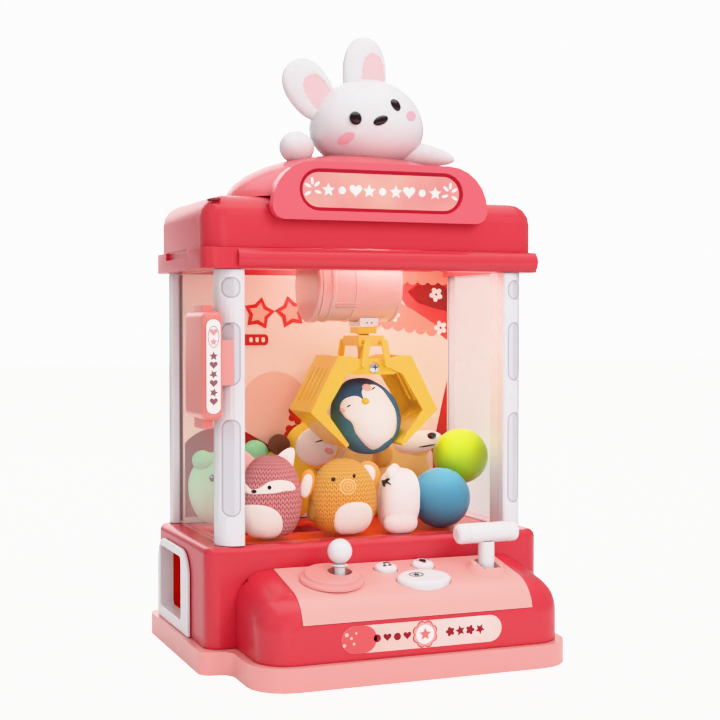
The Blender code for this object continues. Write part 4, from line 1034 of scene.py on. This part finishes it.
def build_badge():
    """A film label on the console's front wall."""
    film = films(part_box("console_housing")[0].y / MM)
    x, z = 4.4, 26.6
    cream, emblem = srgb(252, 214, 204), (5.4, z)
    film("badge_label", [pill(104, 16.2, (x, z))], cream, 0.03, 0.3, srgb(250, 232, 226))
    end = arc((x - 43.9, z), 8.1, 90, 270, 12) + arc((x - 38.0, z), 8.1, -90, 90, 10)
    film("badge_end", [end], srgb(226, 96, 100), 0.34)
    film("badge_end_dots", [oval(d, d, c, points=16) for d, c in (
        (2.4, (-44.5, 30.0)), (1.6, (-40.0, 24.4)), (2.0, (-46.0, 23.8)), (1.4, (-38.6, 30.6)),
        (1.7, (-41.6, 27.8)))], cream, 0.47)
    motifs = []
    for i in range(4):
        left, right = (-25.2 + 6.4 * i, z), (22.0 + 6.6 * i, z + 0.2)
        motifs.append(heart(2.6, left) if i % 2 else oval(4.6, 4.6, left, points=24))
        motifs.append(star(3.4, 1.6, centre=right, turn=14 * i) if i % 2 else
                      petals(3.0, 5, right, 0.4, 18 * i))
    film("badge_motifs", motifs, srgb(150, 40, 50), 0.34)
    film("badge_emblem_rim", [petals(8.4, 8, emblem, 0.14)], srgb(190, 70, 80), 0.34)
    film("badge_emblem", [petals(7.6, 8, emblem, 0.14)], srgb(246, 176, 170), 0.47)
    film("badge_emblem_disc", [oval(11.6, 11.6, emblem, points=36)], srgb(255, 250, 248), 0.60)
    film("badge_emblem_star", [star(3.8, 1.8, centre=emblem)], srgb(236, 120, 124), 0.73)


def build_magazine_label():
    low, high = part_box("coin_magazine")
    film, x = films(low.y / MM, "white_plastic"), (low.x + high.x) / 2 / MM
    ink = srgb(150, 96, 104)
    film("magazine_rim", [pill(9.4, 56.6, (x, 186.0), 4.2)], srgb(196, 120, 122), 0.02, 0.16)
    film("magazine_label", [pill(8.6, 55.8, (x, 186.0), 3.9)], srgb(252, 246, 244), 0.19, 0.2)
    film("magazine_emblem", [oval(w, w + 6.0, (x, 203.6), points=36) for w in (7.0, 6.2)], ink,
         0.40, 0.1)
    film("magazine_emblem_heart", [heart(2.3, (x, 206.2)), star(2.3, 1.1, centre=(x, 200.6))],
         srgb(226, 158, 160), 0.40, 0.1)
    marks = []
    for i in range(6):
        spot = (x, 192.2 - 5.4 * i)
        marks.append(heart(2.5, spot) if i % 2 else star(2.8, 1.35, centre=spot, turn=14 * i))
    film("magazine_marks", marks, ink, 0.40, 0.1)


def on_cap(node, right=0.0, up=0.0):
    """The point of a button's cap at an offset in mm along its slope, and the slope's turn."""
    slope = math.radians(11.0)
    normal = Vector((0.0, -math.sin(slope), math.cos(slope)))
    along = Vector((0.0, math.cos(slope), math.sin(slope)))
    mesh = NODES[node].data
    tree = BVHTree.FromPolygons([v.co for v in mesh.vertices], [p.vertices for p in mesh.polygons])
    low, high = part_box(node)
    start = (low + high) / 2 + normal * 0.03 + Vector((right, 0, 0)) * MM + along * (up * MM)
    point = tree.ray_cast(start, -normal)[0]
    turn = Matrix.Rotation(slope, 3, "X") @ Matrix.Rotation(-math.pi / 2, 3, "X")
    return (point + normal * (0.05 * MM)) / MM, turn


def build_button_icons():
    """Small printed icons: a star in a ring, a note and a lamp."""

    def icons(button, number, outlines, spot, turn, depth=0.14):
        sticker(f"{button}_icon{number}", outlines, srgb(46, 36, 38), spot, depth, "black_plastic",
                button, turn=turn)

    place = on_cap("grab_button", -4.5, 1.6)
    icons("grab", "_0", [oval(9.6, 6.8, points=32), oval(8.4, 5.6, points=32)], *place)
    icons("grab", "_1", [star(2.4, 1.15)], *place)
    note = [oval(2.6, 1.9, (-1.9, -2.2), 20.0, 16), oval(2.6, 1.9, (2.1, -1.6), 20.0, 16),
            [(-1.1, -2.2), (-0.5, -2.2), (-0.5, 2.0), (2.5, 2.6), (2.5, -1.6), (3.1, -1.6), (3.1, 3.9),
             (-1.1, 3.1)]]
    place = on_cap("music_button")
    for number, outline in enumerate(note):
        icons("music", f"_{number}", [outline], *place, 0.13 + 0.01 * number)
    bulb = [arc((0, 0.9), 2.4, -50, 230, 16) + [(-1.1, -1.8), (1.1, -1.8)],
            pill(2.2, 0.7, (0, -2.7), 0.3)]
    rays = [[(r * math.cos(a + d), 0.9 + r * math.sin(a + d))
             for r, d in ((3.2, 0.0), (4.3, -0.09), (4.3, 0.09))]
            for a in (math.radians(d) for d in (0, 45, 90, 135, 180))]
    icons("light", "", bulb + rays, *on_cap("light_button"))


# --- moulded details
def ring_about_x(name, centre, x, radius, wide, high, skin, body, slot, steps=64):
    """A raised band round the carriage tube: a rounded section swept about the tube's axis."""
    section = [(-wide / 2, 0.0), (-wide / 2, high * 0.6), (-wide / 3.2, high), (wide / 3.2, high),
               (wide / 2, high * 0.6), (wide / 2, 0.0)]
    shape = bmesh.new()
    rings = []
    for i in range(steps):
        a = 2 * math.pi * i / steps
        rings.append([shape.verts.new(Vector((x + dx, centre.y / MM + (radius + dr) * math.cos(a),
                                              centre.z / MM + (radius + dr) * math.sin(a))) * MM)
                      for dx, dr in section])
    for i in range(steps):
        one, two = rings[i], rings[(i + 1) % steps]
        for k in range(len(section)):
            m = (k + 1) % len(section)
            shape.faces.new((one[k], one[m], two[m], two[k]))
    bmesh.ops.recalc_face_normals(shape, faces=shape.faces[:])
    return belongs(finish_mesh(name, shape, skin, 40.0), body, slot)


def build_carriage_bands():
    low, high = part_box("carriage_tube")
    centre = Vector((0.0, (low.y + high.y) / 2, low.z + (high.y - low.y) / 2))
    radius = (high.y - low.y) / 2 / MM
    left = low.x / MM
    for number, (x, wide, rise) in enumerate(((left + 1.2, 2.0, 0.9), (left + 8.4, 3.4, 0.8),
                                              (left + 24.0, 1.6, 0.6), (high.x / MM - 1.4, 2.2, 0.7))):
        ring_about_x(f"carriage_band_{number}", centre, x, radius - 0.15, wide, rise, CARRIAGE,
                     "carriage", "blush_plastic")
    for number in range(3):
        rib = pill(19.0, 1.2, (left + 17.0, 0.0), 0.55, 4)
        tilt = Matrix.Rotation(math.radians(28.0 + 5.0 * number), 3, "X")
        spot = centre / MM + tilt @ Vector((0, -(radius + 0.55), 0))
        piece = flat_piece(f"carriage_rib_{number}", [rib], CARRIAGE, 0.8, (0, spot.y + 0.8, spot.z),
                           0.25, tilt)
        belongs(piece, "carriage", "blush_plastic")


def build_claw_details():
    """The guide's dots and the screw's cross slot, the slot drawn in painted shade."""
    low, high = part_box("cord_guide")
    dots = [oval(1.1, 1.1, (dx, 0.0), points=14) for dx in (-1.7, 1.7)]
    sticker("guide_dots", dots, srgb(40, 30, 32),
            ((low.x + high.x) / 2 / MM, low.y / MM - 0.01, low.z / MM + 2.4), 0.12, "black_plastic",
            "carriage")
    low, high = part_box("claw_screw")
    middle = (low + high) / 2 / MM
    # painted shade: the cross slot is a dark film laid on the head, not a recess
    for number, size in enumerate(((3.6, 0.7), (0.7, 3.6))):
        sticker(f"screw_slot_{number}", [pill(*size, radius=0.3, steps=3)], srgb(60, 60, 64),
                (middle.x, low.y / MM + 0.12, middle.z), 0.16, "chrome", "claw")


def build_roof_slot():
    """A speaker slot at the roof's front left corner, drawn as a flat dark piece of painted shade."""
    low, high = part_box("roof_cap")
    turn = (Matrix.Rotation(math.radians(-42.0), 3, "Z")
            @ Matrix.Rotation(math.radians(-48.0), 3, "X"))
    # painted shade: the dark red stands in for the shadowed inside of the slot
    skin = moulded("roof_slot_painted_shade", srgb(120, 16, 22), 0.5, 0.0)
    spot = (low.x / MM + 6.6, low.y / MM + 6.6, high.z / MM - 3.4)
    piece = flat_piece("roof_slot", [pill(9.0, 2.6, radius=1.25)], skin, 0.5, spot, 0.1, turn)
    belongs(piece, "roof", "black_plastic")


for build in (set_stage, dress_casings, build_backdrop, build_marquee, build_badge,
              build_magazine_label, build_button_icons, build_carriage_bands, build_claw_details,
              build_roof_slot, build_topper, build_penguin, build_fox, build_bear, build_cat,
              build_dinosaur, build_duck, build_dog, build_balls):
    build()
